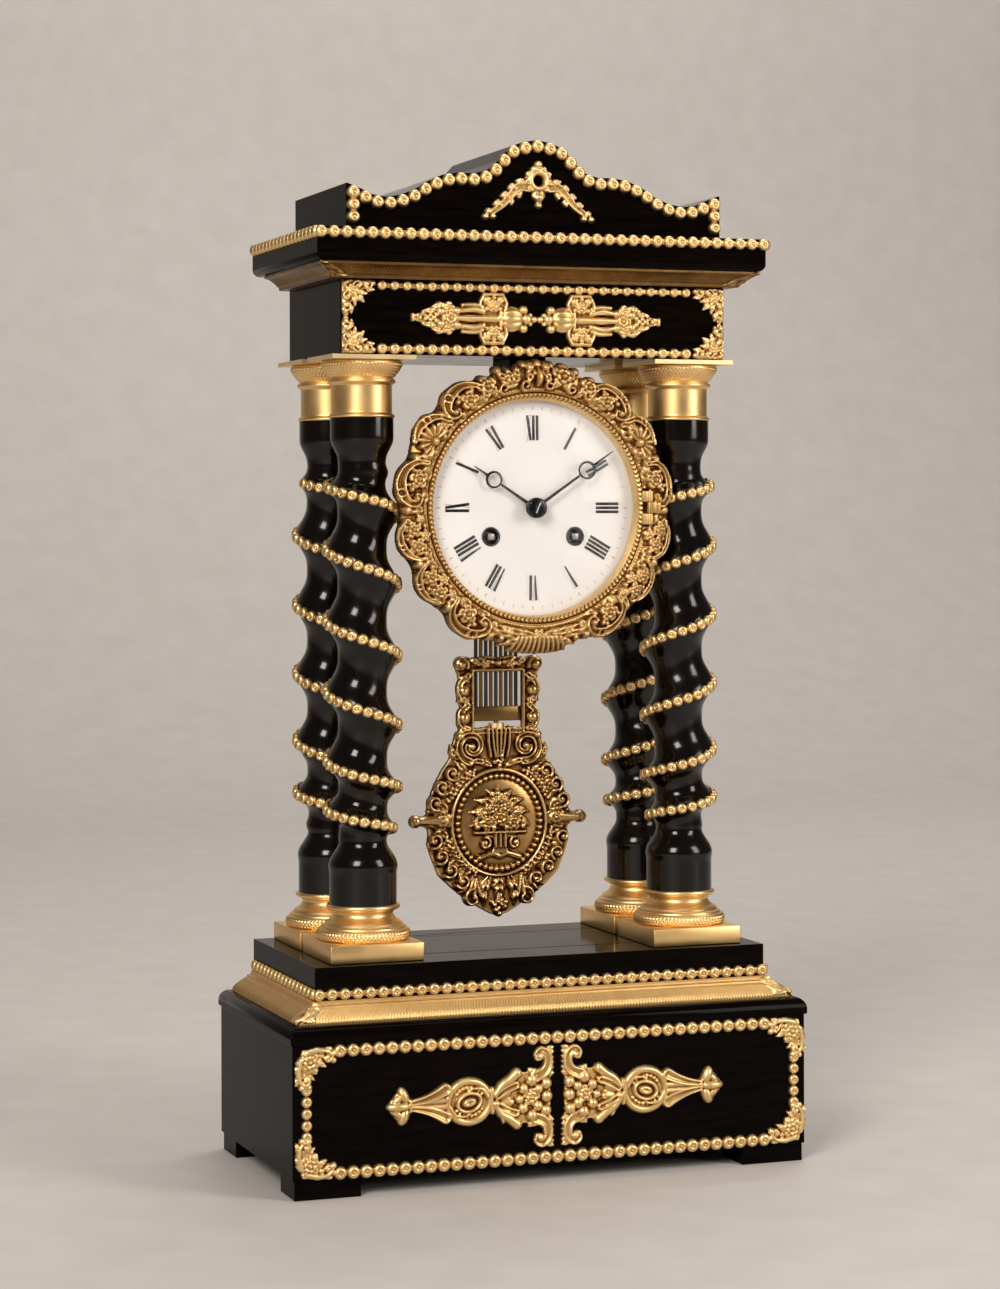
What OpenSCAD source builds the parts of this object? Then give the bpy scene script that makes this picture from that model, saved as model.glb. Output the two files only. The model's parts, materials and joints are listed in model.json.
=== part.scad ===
// Portico clock: ebonised case on four twisted columns, hung drum movement and ornamental pendulum.
// Sizes are in millimetres. X runs to the right, Y to the back, Z up from the floor.

/* [Overall] */
// Height of the whole clock, which the columns take up
clock_h = 477.3; // [475.5:0.1:480]

/* [Base] */
// Width of the base box
base_w = 250; // [246:1:254]
// Depth of the base box
base_d = 124; // [122:1:130]
// Height of the base box above its feet
base_h = 60.7; // [58:0.1:66]
// Thickness of the case boards
board_t = 10; // [8:0.5:11]
// Height of the corner feet
foot_h = 8.3; // [6:0.1:12]
// Width of a foot
foot_w = 31; // [26:0.5:36]
// Depth of a foot
foot_d = 23; // [18:0.5:28]
// How far a foot is set in from the base faces
foot_inset = 1; // [0.5:0.1:2]
// Height of the ebonised ledge on the base
ledge_h = 7.7; // [7:0.1:10]
// How far the ledge stands out past the base
ledge_over = 1; // [0.5:0.1:2]
// Radius of the ledge's rounded upper edge
ledge_r = 5; // [3:0.1:6]

/* [Plinth] */
// Width of the plinth block
plinth_w = 220.8; // [216:0.2:224]
// Distance of the plinth's front from the middle of the case
plinth_front = 48.2; // [46:0.1:50]
// Distance of the plinth's back from the middle of the case
plinth_back = 56; // [54:0.1:58]
// Height of the plinth block
plinth_h = 24.1; // [22:0.1:28]
// Height of the gilt moulding round the plinth
plinth_trim_h = 9.3; // [8:0.1:11]
// How far this moulding stands out at the sides
plinth_trim_side = 10.4; // [8:0.1:11]
// How far this moulding stands out at the front
plinth_trim_front = 6.6; // [5:0.1:8]
// Height of the flat fillets on the gilt mouldings
fillet_h = 1.6; // [1:0.1:2]
// Radius of the leaf boss on a moulding's corner
leaf_r = 3.4; // [2.5:0.1:4]

/* [Columns] */
// Distance of the columns from the middle plane
column_x = 79; // [77:0.5:81]
// Distance of the front columns in front of the middle
column_front = 19.8; // [18:0.1:21]
// Distance of the rear columns behind the middle
column_rear = 30; // [28:0.1:31]
// Width of a column's square plinth
column_plinth_w = 44.5; // [43:0.1:46]
// Height of a column's square plinth
column_plinth_h = 8.4; // [7:0.1:10]
// Height of a turned column base
column_base_h = 16.2; // [14:0.1:19]
// Radius of the round torus on a column base
column_base_r = 21.7; // [20:0.1:21.9]
// Radius of the torus section
torus_r = 2.8; // [2.2:0.1:3.2]
// Radius of the shaft's plain foot
shaft_foot_r = 15.6; // [14.5:0.1:16.4]
// Radius of the shaft's plain head
shaft_head_r = 14.7; // [14:0.1:15.2]
// Radius of the shaft's neck at each end of the twist
shaft_neck_r = 10.8; // [10:0.1:11.5]
// Mean radius of the twisted part
twist_r = 13.4; // [12.8:0.1:13.8]
// Depth of the twist
twist_depth = 2.6; // [2:0.1:2.9]
// Height of one turn of the twist
twist_pitch = 32.2; // [31:0.1:34]
// Width of the bead strip on the crest of the twist
crest_bead_w = 4.6; // [4:0.1:5]
// Thickness of the bead strip on the crest of the twist
crest_bead_t = 2; // [1.6:0.1:2.2]
// Gap under the crest strip
crest_seat = 0.2; // [0.15:0.01:0.28]
// Height of a capital
capital_h = 26.3; // [24:0.1:28]
// Radius of a capital's drum
capital_r = 14; // [13:0.1:14.6]
// Radius at the top of a capital's flare
echinus_r = 18.8; // [17.5:0.1:19.6]
// Width of the square abacus plate
abacus_w = 40; // [39:0.1:41]
// Thickness of the abacus plate
abacus_t = 2; // [1.5:0.1:3]
// Radius of a tie rod
tie_rod_r = 2.5; // [2:0.1:3]
// Radial room round a tie rod
tie_rod_room = 0.5; // [0.4:0.1:0.8]
// Width of a tie-rod nut across its corners
nut_w = 10; // [9.5:0.1:11]
// Height of a tie-rod nut
nut_h = 4; // [3:0.1:5]

/* [Entablature] */
// Width of the frieze box
frieze_w = 189.5; // [187:0.1:192]
// Distance of the frieze's front from the middle of the case
frieze_front = 38.2; // [37.8:0.1:39]
// Distance of the frieze's back from the middle of the case
frieze_back = 44.8; // [43:0.1:46]
// Height of the frieze box
frieze_h = 41.2; // [39:0.1:44]
// Height of the gilt moulding under the cornice
cornice_trim_h = 7; // [6:0.1:8]
// How far this moulding stands out at its foot
cornice_trim_foot = 5.2; // [4:0.1:6]
// How far this moulding stands out at its top
cornice_trim_over = 12.4; // [11:0.1:13.5]
// Height of the cornice board
cornice_h = 15.2; // [14:0.1:17]
// How far the cornice board stands out past the frieze
cornice_over = 15.3; // [14.5:0.1:16]
// How far the cornice board stands out at the back
cornice_back = 11; // [9:0.1:12]
// Radius of the cornice board's rounded lower edge
cornice_r = 3.3; // [2:0.1:4]
// Width of the pediment
pediment_w = 184.8; // [182:0.1:187]
// Distance of the pediment's front from the middle of the case
pediment_front = 40; // [38.5:0.1:41.5]
// Distance of the pediment's back from the middle of the case
pediment_back = 43; // [41:0.1:44]
// Height of the pediment at its peak
pediment_h = 44.1; // [42:0.1:47]

/* [Beads and mounts] */
// Radius of a bead on the straight strips
bead_r = 2.6; // [2.3:0.1:2.8]
// Distance between beads
bead_pitch = 6.1; // [5.8:0.1:6.6]
// Thickness of the strip under the beads
bead_strip_t = 0.8; // [0.5:0.1:1]
// Width of the strip under the beads
bead_strip_w = 2.6; // [2:0.1:3.2]
// Thickness of a cast mount's sheet
mount_t = 1.6; // [1.2:0.1:2]
// Greatest relief of a cast mount
mount_relief = 5; // [4.8:0.1:6]

/* [Dial and bezel] */
// Drop of the dial centre below the frieze
dial_drop = 69.8; // [69.4:0.1:70.6]
// Distance of the dial's edge in front of the middle of the case
dial_front = 32.6; // [32:0.1:33]
// Radius of the enamel dial
dial_r = 51.6; // [51:0.1:51.8]
// Thickness of the dial
dial_t = 1.2; // [1:0.1:1.4]
// Rise of the dial's convex face
dial_dome = 1; // [0.7:0.1:1.1]
// Radius of a winding hole in the dial
winding_hole_r = 4.4; // [4:0.1:4.8]
// Distance of a winding hole to the side of the dial centre
winding_x = 20.85; // [20.6:0.05:21.2]
// Drop of the winding holes below the dial centre
winding_drop = 13.3; // [13:0.1:13.6]
// Inner radius of the cast surround
surround_in_r = 53.6; // [53.5:0.1:54]
// Radius of the cast surround to its outermost lobes
surround_r = 68.4; // [67:0.1:68.8]
// Number of lobes on the surround
surround_lobes = 12; // [10:1:14]
// Relief of the surround
surround_relief = 8; // [7.4:0.1:8.4]
// Sight radius of the glazed ring
door_sight_r = 49.6; // [49.2:0.1:50]
// Depth of the glazed ring
door_depth = 8.5; // [8.3:0.1:9]
// Width of the glazed ring's wall
door_wall = 2; // [1.7:0.1:2]
// Gap between the glazed ring and the pieces round it
door_gap = 0.4; // [0.3:0.05:0.5]
// Thickness of the glass
glass_t = 1.5; // [1.2:0.1:1.8]
// Rise of the convex glass
glass_dome = 7.5; // [6.5:0.1:8.5]
// Seating gap of the glass
glass_seat = 0.2; // [0.15:0.01:0.25]
// Radius of a hinge knuckle
knuckle_r = 1.5; // [1.3:0.1:1.6]
// Length of a hinge knuckle
knuckle_l = 5; // [4:0.1:5.5]
// Radius of the hinge pin
hinge_pin_r = 0.7; // [0.5:0.05:0.8]
// Length of the minute hand
minute_l = 46.8; // [45:0.1:47.2]
// Length of the hour hand
hour_l = 35.5; // [34:0.1:37]
// Thickness of a hand
hand_t = 0.7; // [0.5:0.1:0.8]
// Radius of the boss on the hands
boss_r = 4.8; // [4.4:0.1:5]

/* [Movement] */
// Inner radius of the movement drum
drum_in_r = 50.6; // [50.4:0.1:50.7]
// Wall thickness of the movement drum
drum_t = 2; // [1.6:0.1:2.2]
// Outer radius of the drum's front flange
flange_r = 61; // [60.5:0.1:61.2]
// Room between dial and front plate
motion_room = 7; // [6.8:0.1:7.3]
// Thickness of a movement plate
plate_t = 2; // [1.6:0.1:2.2]
// Distance between the movement plates
plate_gap = 27.4; // [27.2:0.1:28]
// Gap between plates and drum
plate_fit = 0.25; // [0.15:0.05:0.3]
// Radial clearance of the running fits
run_fit = 0.05; // [0.03:0.01:0.08]
// Radius of the plate pillars
pillar_r = 2.5; // [2:0.1:3]
// Radius of a winding arbor
winding_arbor_r = 2.2; // [2:0.1:2.4]
// Width of a winding square
winding_square = 3; // [2.6:0.1:3.2]
// Radius of a spring barrel
barrel_r = 16.8; // [16:0.1:17]
// Length of a spring barrel
barrel_l = 12; // [11:0.1:12.4]
// Thickness of the wheels
wheel_t = 1.4; // [1.2:0.1:1.5]
// Teeth of a barrel wheel
barrel_teeth = 72; // [72:1:72]
// Teeth of the second wheel
second_teeth = 60; // [60:1:60]
// Teeth of the centre wheel
centre_teeth = 80; // [80:1:80]
// Teeth of the third wheel
third_teeth = 80; // [80:1:80]
// Leaves of the low pinions
low_leaves = 12; // [12:1:12]
// Leaves of the high pinions
high_leaves = 8; // [8:1:8]
// Teeth of the escape wheel
escape_teeth = 42; // [42:1:42]
// Radius of the escape wheel
escape_r = 8.5; // [8:0.1:8.7]
// Height of the escape wheel above the dial centre
escape_rise = 22.5; // [22.3:0.1:22.7]
// Height of the pallet arbor above the dial centre
pallet_rise = 34.5; // [34.4:0.1:35]
// Gap between pallets and escape wheel
pallet_gap = 0.85; // [0.75:0.05:1]
// Size of one tooth on the low wheels, pitch diameter over teeth
low_module = 0.5; // [0.5:0.01:0.5]
// The same for the centre wheel
centre_module = 0.4; // [0.4:0.01:0.4]
// The same for the third wheel
third_module = 0.34; // [0.34:0.01:0.34]
// The same for the cannon pinion and minute wheel
cannon_module = 0.6; // [0.6:0.01:0.6]
// Teeth of the cannon pinion
cannon_teeth = 14; // [14:1:14]
// Teeth of the minute wheel
minute_teeth = 42; // [42:1:42]
// Leaves of the minute wheel's pinion
minute_leaves = 12; // [12:1:12]
// Teeth of the hour wheel
hour_teeth = 48; // [48:1:48]
// Radius of the train arbors
arbor_r = 0.9; // [0.7:0.05:0.95]
// Radius of the centre arbor
centre_arbor_r = 1.2; // [1.1:0.05:1.2]
// Radius of the cannon pipe
cannon_r = 1.7; // [1.65:0.05:1.75]
// Radius of the hour pipe
hour_pipe_r = 2.7; // [2.6:0.1:2.8]
// Width of the saddle block that carries the drum
saddle_w = 18; // [14:1:24]
// Depth of the saddle block
saddle_d = 24; // [20:1:28]

/* [Strike] */
// Radius of the bell's mouth
bell_r = 30; // [28:0.5:31]
// Depth of the bell
bell_h = 17; // [16:0.5:18]
// Wall of the bell
bell_t = 1.6; // [1.4:0.1:2]
// Distance of the bell's mouth behind the middle of the case
bell_back = 25; // [24.5:0.1:26]
// Radius of the bell stand's post
bell_post_r = 2; // [1.6:0.1:2.2]
// Radius of the hammer head
hammer_r = 3.5; // [3:0.1:3.8]
// Gap between hammer and bell at rest
hammer_gap = 0.8; // [0.5:0.1:1.2]

/* [Pendulum] */
// Distance of the pendulum behind the middle of the case
pendulum_back = 18; // [17.6:0.1:18.4]
// Distance of the bob's centre below the dial's
bob_drop = 150; // [148:0.5:152]
// Radius of the bob's wreath
bob_r = 34; // [32:0.5:35]
// Radius of the beaded ring on the bob
bob_ring_r = 21.5; // [20:0.5:22.5]
// Reach of the bob's side finials
bob_reach = 43; // [42:0.5:44]
// Distance of the bob's lowest point below its centre
bob_foot = 46; // [44:0.5:47]
// Distance of the pendulum frame's foot above the bob's centre
bob_neck = 37; // [37:0.5:37]
// Height of the pendulum frame
frame_h = 43; // [41:0.5:44]
// Width of the pendulum frame
frame_w = 44; // [42:0.5:46]
// Width of the frame's window
window_w = 24; // [23:0.5:25]
// Thickness of frame and bob
frame_t = 1.8; // [1.5:0.1:2]
// Number of rods in the gridiron
rod_count = 9; // [9:1:9]
// Radius of a gridiron rod
rod_r = 0.9; // [0.7:0.05:1]
// Radius of the pendulum rod
pendulum_rod_r = 1.4; // [1.2:0.1:1.4]
// Radius of the rating nut
rating_nut_r = 4; // [3.5:0.1:4.2]

/* [Hidden] */
$fn = 48;
fine_fn = 720;
ebony = [0.06, 0.05, 0.05];
brass = [0.80, 0.62, 0.30];
steel = [0.55, 0.56, 0.58];
blued = [0.05, 0.05, 0.07];
enamel = [0.95, 0.94, 0.90];
clear = [0.80, 0.90, 0.95, 0.35];
eps = 0.01;

// The columns' shafts fill what the other courses leave of the height.
courses_low = foot_h + base_h + ledge_h + plinth_h + column_plinth_h + column_base_h;
courses_high = capital_h + abacus_t + frieze_h + cornice_h + pediment_h;
shaft_h = clock_h - courses_low - courses_high;

// The frame's origin is under the middle of the whole clock, mounts included.
frame_shift = (mount_relief - ledge_over) / 2;

// Heights of the stacked parts.
base_z = foot_h;
ledge_z = base_z + base_h;
plinth_z = ledge_z + ledge_h;
column_z = plinth_z + plinth_h;
column_base_z = column_z + column_plinth_h;
shaft_z = column_base_z + column_base_h;
capital_z = shaft_z + shaft_h;
abacus_z = capital_z + capital_h;
frieze_z = abacus_z + abacus_t;
cornice_z = frieze_z + frieze_h;
cornice_trim_z = cornice_z - cornice_trim_h;
pediment_z = cornice_z + cornice_h;
dial_z = frieze_z - dial_drop;
bob_z = dial_z - bob_drop;
frame_z = bob_z + bob_neck;
frame_top_z = frame_z + frame_h;
pivot_z = dial_z + pallet_rise;
bore_r = tie_rod_r + tie_rod_room;
beads_z = cornice_z + cornice_h - bead_r;

// Depths in the movement, along Y.
dial_y = -dial_front;
rim_y = dial_y + dial_t;
flange_y = dial_y - wheel_t / 2;
front_plate_y = rim_y + motion_room;
back_plate_y = front_plate_y + plate_t + plate_gap;
movement_end_y = back_plate_y + plate_t;
drum_end_y = movement_end_y + plate_t;
plate_r = drum_in_r - plate_fit;
lobe_y = flange_y - 3;
door_back_y = flange_y - door_gap + eps;
door_front_y = door_back_y - door_depth;
door_r = surround_in_r - door_gap;
glass_r = door_r - door_wall - glass_seat;
glass_rim_y = door_front_y + door_wall + door_gap;
hour_hand_y = dial_y - dial_dome - 1.8;
minute_hand_y = hour_hand_y - 1.6;
cannon_y = front_plate_y - 0.6;
hour_wheel_y = cannon_y - wheel_t - 1.1;
barrel_y = back_plate_y - 9;
second_wheel_y = back_plate_y - 3;
centre_wheel_y = front_plate_y + plate_t + 3.6;
third_wheel_y = centre_wheel_y + 2.2;
escape_y = back_plate_y - 11.8;
pallet_clear = escape_r + pallet_gap;
crutch_y = movement_end_y + 4;
crutch_l = 40;
hinge_x = surround_in_r + 2;
hinge_y = door_front_y + 0.8;
minute_angle = 55.5;
hour_angle = 303;

// Centres of the train in the plane of the plates, from the dial centre.
low_r = low_module / 2;
barrel_at = [winding_x, -winding_drop];
second_at = apex([0, 0], barrel_at, low_r * (second_teeth + low_leaves),
                 low_r * (barrel_teeth + low_leaves), 1);
escape_at = [0, escape_rise];
pallet_at = [0, pallet_rise];
third_at = apex([0, 0], escape_at, centre_module / 2 * (centre_teeth + high_leaves),
                third_module / 2 * (third_teeth + high_leaves), 1);
motion_d = cannon_module / 2 * (cannon_teeth + minute_teeth);
motion_at = [0, motion_d];
hour_module = 2 * motion_d / (minute_leaves + hour_teeth);
pillar_at = [14.7, 40.4];
hammer_at = [-36, -24];
bell_post_at = [-16, -10];

// Outline of the pediment as shares of its half width and height, from the peak outwards.
crest = [[0, 1], [0.074, 0.973], [0.139, 0.921], [0.207, 0.766], [0.264, 0.667], [0.332, 0.626], [0.41, 0.63],
         [0.498, 0.599], [0.576, 0.528], [0.644, 0.438], [0.713, 0.379], [0.792, 0.349], [0.863, 0.37],
         [0.921, 0.424], [0.991, 0.478], [1, 0.478]];
crest_right = [for (p = crest) [p[0] * pediment_w / 2, p[1] * pediment_h]];
crest_left = [for (i = [len(crest) - 1:-1:1]) [-crest_right[i][0], crest_right[i][1]]];
crest_all = concat(crest_left, crest_right);

// Line of the pediment's beads: the crest, set down and in from its ends.
bead_drop = 3.2;
bead_line = [for (p = crest_all) [p[0] * (1 - 2 * bead_drop / pediment_w), p[1] - bead_drop]];
bead_run = [for (i = [0:len(bead_line) - 1]) run_to(bead_line, i)];
bead_run_x = [for (i = [0:len(bead_line) - 1]) [bead_run[i], bead_line[i][0]]];
bead_run_z = [for (i = [0:len(bead_line) - 1]) [bead_run[i], bead_line[i][1]]];

// Turned profiles as shares of radius and height.
base_profile = [[0.93, 0], [0.93, 0.345], [0.857, 0.345], [0.848, 0.42], [0.793, 0.445], [0.756, 0.53],
                [0.673, 0.617], [0.64, 0.716], [0.664, 0.815], [0.728, 0.876], [0.788, 0.889], [0.788, 1]];
capital_profile = [[0.814, 0], [0.814, 0.068], [0.745, 0.084], [0.745, 0.548], [0.809, 0.57], [0.809, 0.639],
                   [0.755, 0.654], [0.761, 0.684], [0.819, 0.707], [0.904, 0.783], [0.968, 0.867],
                   [1, 0.951], [1, 1]];

// Shaft outline below and above the twist: height, radius.
shaft_foot = [[0, shaft_foot_r], [14.8, shaft_foot_r], [18, shaft_foot_r + 0.5], [20.8, shaft_foot_r - 0.3],
              [23.6, shaft_neck_r + 2.6], [26.3, shaft_neck_r + 0.8], [28, shaft_neck_r]];
head_drop = [[21.1, shaft_neck_r], [17.1, shaft_neck_r + 0.7], [14.1, shaft_neck_r + 2.3],
             [11.2, shaft_head_r - 0.2], [9.6, shaft_head_r], [0, shaft_head_r]];
shaft_head = [for (p = head_drop) [shaft_h - p[0], p[1]]];
twist_from = shaft_foot[6][0];
twist_to = shaft_head[0][0];
twist_fade = 13;
twist_sharp = 0.2;
twist_steps = 43;
shaft_sides = 16;
shaft_rings = concat([for (p = shaft_foot) p[0]],
                     [for (i = [1:twist_steps - 1]) twist_from + i * (twist_to - twist_from) / twist_steps],
                     [for (p = shaft_head) p[0]]);
strip_from = 35;
strip_to = shaft_h - 32.5;
strip_beads = 92;
crest_level = 154.9;
crest_facing = -107.4;
front_left_turn = 0;
rear_left_turn = 67;
front_right_turn = 50;
rear_right_turn = 110;

// Cast ornament: [reach, rise, radius, height] of the round bosses, from the middle of each mount.
base_bosses = [[14, 0, 5, 5], [14, 8.4, 4, 3.6], [14, -8.4, 4, 3.6],
               [20.6, 4.6, 3.8, 3.4], [20.6, -4.6, 3.8, 3.4],
               [8.6, 4.4, 3.4, 3], [8.6, -4.4, 3.4, 3], [47, 0, 6, 4.6], [36, 0, 3, 3], [60, 0, 3.4, 3.4],
               [77.4, 0, 3.4, 3], [74.6, 5.6, 3.6, 3], [74.6, -5.6, 3.6, 3]];
frieze_bosses = [[4.2, 0, 3.4, 2.6], [12, 0, 6, 4.2], [21.5, 7.8, 4, 3.2], [21.5, -7.8, 4, 3.2],
                 [43, 0, 4.2, 4.2], [43, 5.4, 3, 2.6], [43, -5.4, 3, 2.6],
                 [48, 2.8, 3, 2.6], [48, -2.8, 3, 2.6],
                 [38, 2.8, 3, 2.6], [38, -2.8, 3, 2.6], [32, 0, 2.6, 2.6]];
rosette_r = 3.6;
mount_seam = 0.2;
corner_in = 7.4;
petal_r = 2;

function smooth(a, b, t) = let(u = min(1, max(0, (t - a) / (b - a)))) u * u * (3 - 2 * u);
function apex(p, q, dp, dq, side) =
    let(d = norm(q - p), a = (dp * dp - dq * dq + d * d) / (2 * d),
        h = sqrt(dp * dp - a * a), u = (q - p) / d)
    p + a * u + side * h * [-u[1], u[0]];
function run_to(p, i) = i == 0 ? 0 : run_to(p, i - 1) + norm(p[i] - p[i - 1]);
function swell(z) =
    smooth(twist_from, twist_from + twist_fade, z) * smooth(twist_to, twist_to - twist_fade, z);
function shaft_mean(z) =
    z < twist_from ? lookup(z, shaft_foot)
    : z > twist_to ? lookup(z, shaft_head)
    : shaft_neck_r + (twist_r - shaft_neck_r) * swell(z);
function crest_turn(z, phase) = crest_facing + phase + 360 * (crest_level - z) / twist_pitch;
function wave(a) = cos(a) + twist_sharp * cos(2 * a);
function shaft_radius(z, a, phase) = shaft_mean(z) + twist_depth * swell(z) * wave(a - crest_turn(z, phase));
function crest_radius(z) = shaft_mean(z) + twist_depth * swell(z) * (1 + twist_sharp);
function split(a, b, c, d) = [[a, b, c], [a, c, d]];
function spiral(c, r0, r1, a0, a1, n = 16) =
    [for (i = [0:n]) let(t = i / n, r = r0 + (r1 - r0) * t, a = a0 + (a1 - a0) * t) c + r * [cos(a), sin(a)]];
function heading(p, i) = let(d = p[min(i + 1, len(p) - 1)] - p[max(i - 1, 0)]) d / norm(d);
function beside(p, i, w) = p[i] + w / 2 * [-heading(p, i)[1], heading(p, i)[0]];
function ribbon(p, w0, w1) =
    let(n = len(p) - 1)
    concat([for (i = [0:n]) beside(p, i, w0 + (w1 - w0) * i / n)],
           [for (i = [n:-1:0]) beside(p, i, -(w0 + (w1 - w0) * i / n))]);
function leaf(a, b, w, n = 6) =
    let(d = (b - a), s = [-d[1], d[0]] / norm(d))
    concat([for (i = [0:n]) a + d * i / n + s * w / 2 * sin(180 * i / n)],
           [for (i = [n - 1:-1:1]) a + d * i / n - s * w / 2 * sin(180 * i / n)]);
function oval(c, rx, ry, n = 28) = [for (i = [0:n - 1]) c + [rx * cos(360 * i / n), ry * sin(360 * i / n)]];
function toward(a, b) = atan2(b[1] - a[1], b[0] - a[0]);
function tooth(r, m, p, a) =
    [for (q = [[r - m, -0.27], [r + 0.7 * m, -0.12], [r + 0.7 * m, 0.12], [r - m, 0.27]])
        q[0] * [cos(a + q[1] * p), sin(a + q[1] * p)]];
function gear_points(n, m, at) =
    [for (i = [0:n - 1]) for (q = tooth(n * m / 2, m, 360 / n, at + 360 * i / n)) q];
function saw_points(n, r) =
    [for (i = [0:n - 1]) for (q = [[r, 0], [0.86 * r, 0.12], [0.86 * r, 0.7]])
        q[0] * [cos(360 * (i + q[1]) / n), sin(360 * (i + q[1]) / n)]];

module placed() translate([0, frame_shift, 0]) children();
module facing(y, z) translate([0, y, z]) rotate([90, 0, 0]) children();
module movement(y, at = [0, 0]) translate([at[0], y, dial_z + at[1]]) rotate([90, 0, 0]) children();
module both() {
    children();
    mirror([1, 0, 0]) children();
}
module at_columns() {
    for (x = [-column_x, column_x], y = [-column_front, column_rear]) translate([x, y, 0]) children();
}
module box_to(low, high) translate(low) cube(high - low);

// Turned solid with a bore along its axis.
module turned(profile, r, h, bore) {
    rotate_extrude()
        polygon(concat([[bore, 0]], [for (p = profile) [p[0] * r, p[1] * h]], [[bore, h]]));
}

// Hemisphere on the plane z = 0.
module dome(r) {
    rotate_extrude() intersection() {
        circle(r);
        square(r);
    }
}

// Round boss of any relief on the plane z = 0.
module boss(b) {
    r = (b[2] * b[2] + b[3] * b[3]) / (2 * b[3]);
    translate([b[0], b[1], 0]) rotate_extrude() intersection() {
        translate([0, b[3] - r]) circle(r);
        square([b[2], b[3]]);
    }
}

// Ball that stands out of the plane z = 0 as a round boss once its lower part is cut off.
module ball(b) {
    r = (b[2] * b[2] + b[3] * b[3]) / (2 * b[3]);
    translate([b[0], b[1], b[3] - r]) sphere(r);
}

// Straight strip with beads, drawn along X on the plane z = 0.
module bead_row(length, r = bead_r) {
    count = floor((length - 2 * r) / bead_pitch);
    step = (length - 2 * r) / count;
    translate([-length / 2, -bead_strip_w / 2, 0]) cube([length, bead_strip_w, bead_strip_t]);
    for (i = [0:count]) translate([(i - count / 2) * step, 0, 0]) dome(r);
}

// Bead rows on the front and both sides of a block.
module bead_band(w, front, back, z) {
    side_l = front + back - 2 * bead_r;
    facing(-front, z) bead_row(w - 2 * bead_r);
    for (s = [-1, 1])
        translate([s * w / 2, (back - front) / 2, z]) rotate([0, 0, s * 90]) rotate([90, 0, 0])
            bead_row(side_l);
}

// Slab whose edges follow a half profile on all four sides: profile points are [overhang, height].
module run_x(half, profile, h) {
    polygon(concat([[0, 0]], [for (p = profile) [half + p[0], p[1]]], [[0, h]]));
}

module shaft(phase) {
    n = shaft_sides;
    rings = len(shaft_rings);
    outer = [for (z = shaft_rings) for (j = [0:n - 1])
        let(a = 360 * j / n) [shaft_radius(z, a, phase) * cos(a), shaft_radius(z, a, phase) * sin(a), z]];
    inner = [for (z = [0, shaft_h]) for (j = [0:n - 1])
        [bore_r * cos(360 * j / n), bore_r * sin(360 * j / n), z]];
    low = rings * n;
    high = low + n;
    top = (rings - 1) * n;
    walls = [for (i = [0:rings - 2]) for (j = [0:n - 1]) let(k = (j + 1) % n)
        each split(i * n + j, (i + 1) * n + j, (i + 1) * n + k, i * n + k)];
    bore = [for (j = [0:n - 1]) let(k = (j + 1) % n) each split(low + k, high + k, high + j, low + j)];
    floor_ring = [for (j = [0:n - 1]) let(k = (j + 1) % n) each split(j, k, low + k, low + j)];
    top_ring = [for (j = [0:n - 1]) let(k = (j + 1) % n) each split(top + k, top + j, high + j, high + k)];
    polyhedron(points = concat(outer, inner), faces = concat(walls, bore, floor_ring, top_ring),
        convexity = 6);
}

// Bead strip laid along the crest of a shaft's twist.
module crest_strip(phase) {
    n = 4;
    rings = 2 * strip_beads;
    points = [for (i = [0:rings])
        let(z = strip_from + (strip_to - strip_from) * i / rings,
            a = crest_turn(z, phase),
            r = crest_radius(z) + crest_seat,
            k = i % 2 == 0 ? 0.5 : 1)
        for (q = [[0, -0.5], [k, -0.28], [k, 0.28], [0, 0.5]])
            let(out = r + q[0] * crest_bead_t) [out * cos(a), out * sin(a), z + q[1] * crest_bead_w * k]];
    sides = [for (i = [0:rings - 1]) for (j = [0:n - 1]) let(k = (j + 1) % n)
        each split(i * n + j, i * n + k, (i + 1) * n + k, (i + 1) * n + j)];
    first = [[0, 2, 1], [0, 3, 2]];
    last = [for (f = [[0, 1, 2], [0, 2, 3]]) f + rings * n * [1, 1, 1]];
    polyhedron(points = points, faces = concat(sides, first, last), convexity = 12);
}

module wheel(n, m, t, at, bore) {
    difference() {
        linear_extrude(t) polygon(gear_points(n, m, at));
        translate([0, 0, -eps]) cylinder(r = bore, h = t + 2 * eps);
    }
}

// Train wheel with its rim, hub and round openings between the spokes.
module spoked(n, m, t, at, bore) {
    r = n * m / 2;
    difference() {
        wheel(n, m, t, at, bore);
        for (i = [0:4])
            rotate([0, 0, 72 * i]) translate([0.56 * r, 0, -eps]) cylinder(r = 0.26 * r, h = t + 2 * eps);
    }
}

module base_box() color(ebony) placed() {
    difference() {
        translate([-base_w / 2, -base_d / 2, base_z]) cube([base_w, base_d, base_h]);
        translate([-base_w / 2 + board_t, -base_d / 2 + board_t, base_z - board_t])
            cube([base_w - 2 * board_t, base_d - 2 * board_t, base_h]);
        at_columns() translate([0, 0, base_z]) cylinder(r = bore_r, h = 2 * base_h);
    }
}

module base_feet() color(ebony) placed() {
    x = base_w / 2 - foot_inset - foot_w;
    y = base_d / 2 - foot_inset - foot_d;
    for (sx = [0, 1], sy = [0, 1])
        mirror([sx, 0, 0]) mirror([0, sy, 0]) translate([x, y, 0]) cube([foot_w, foot_d, foot_h]);
}

module ledge() color(ebony) placed() {
    difference() {
        intersection() {
            rounded_slab(base_w / 2 + ledge_over, base_d);
            rotate([0, 0, 90]) rounded_slab(base_d / 2 + ledge_over, base_w);
        }
        at_columns() translate([0, 0, ledge_z - eps]) cylinder(r = bore_r, h = ledge_h + 2 * eps);
    }
}

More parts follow.
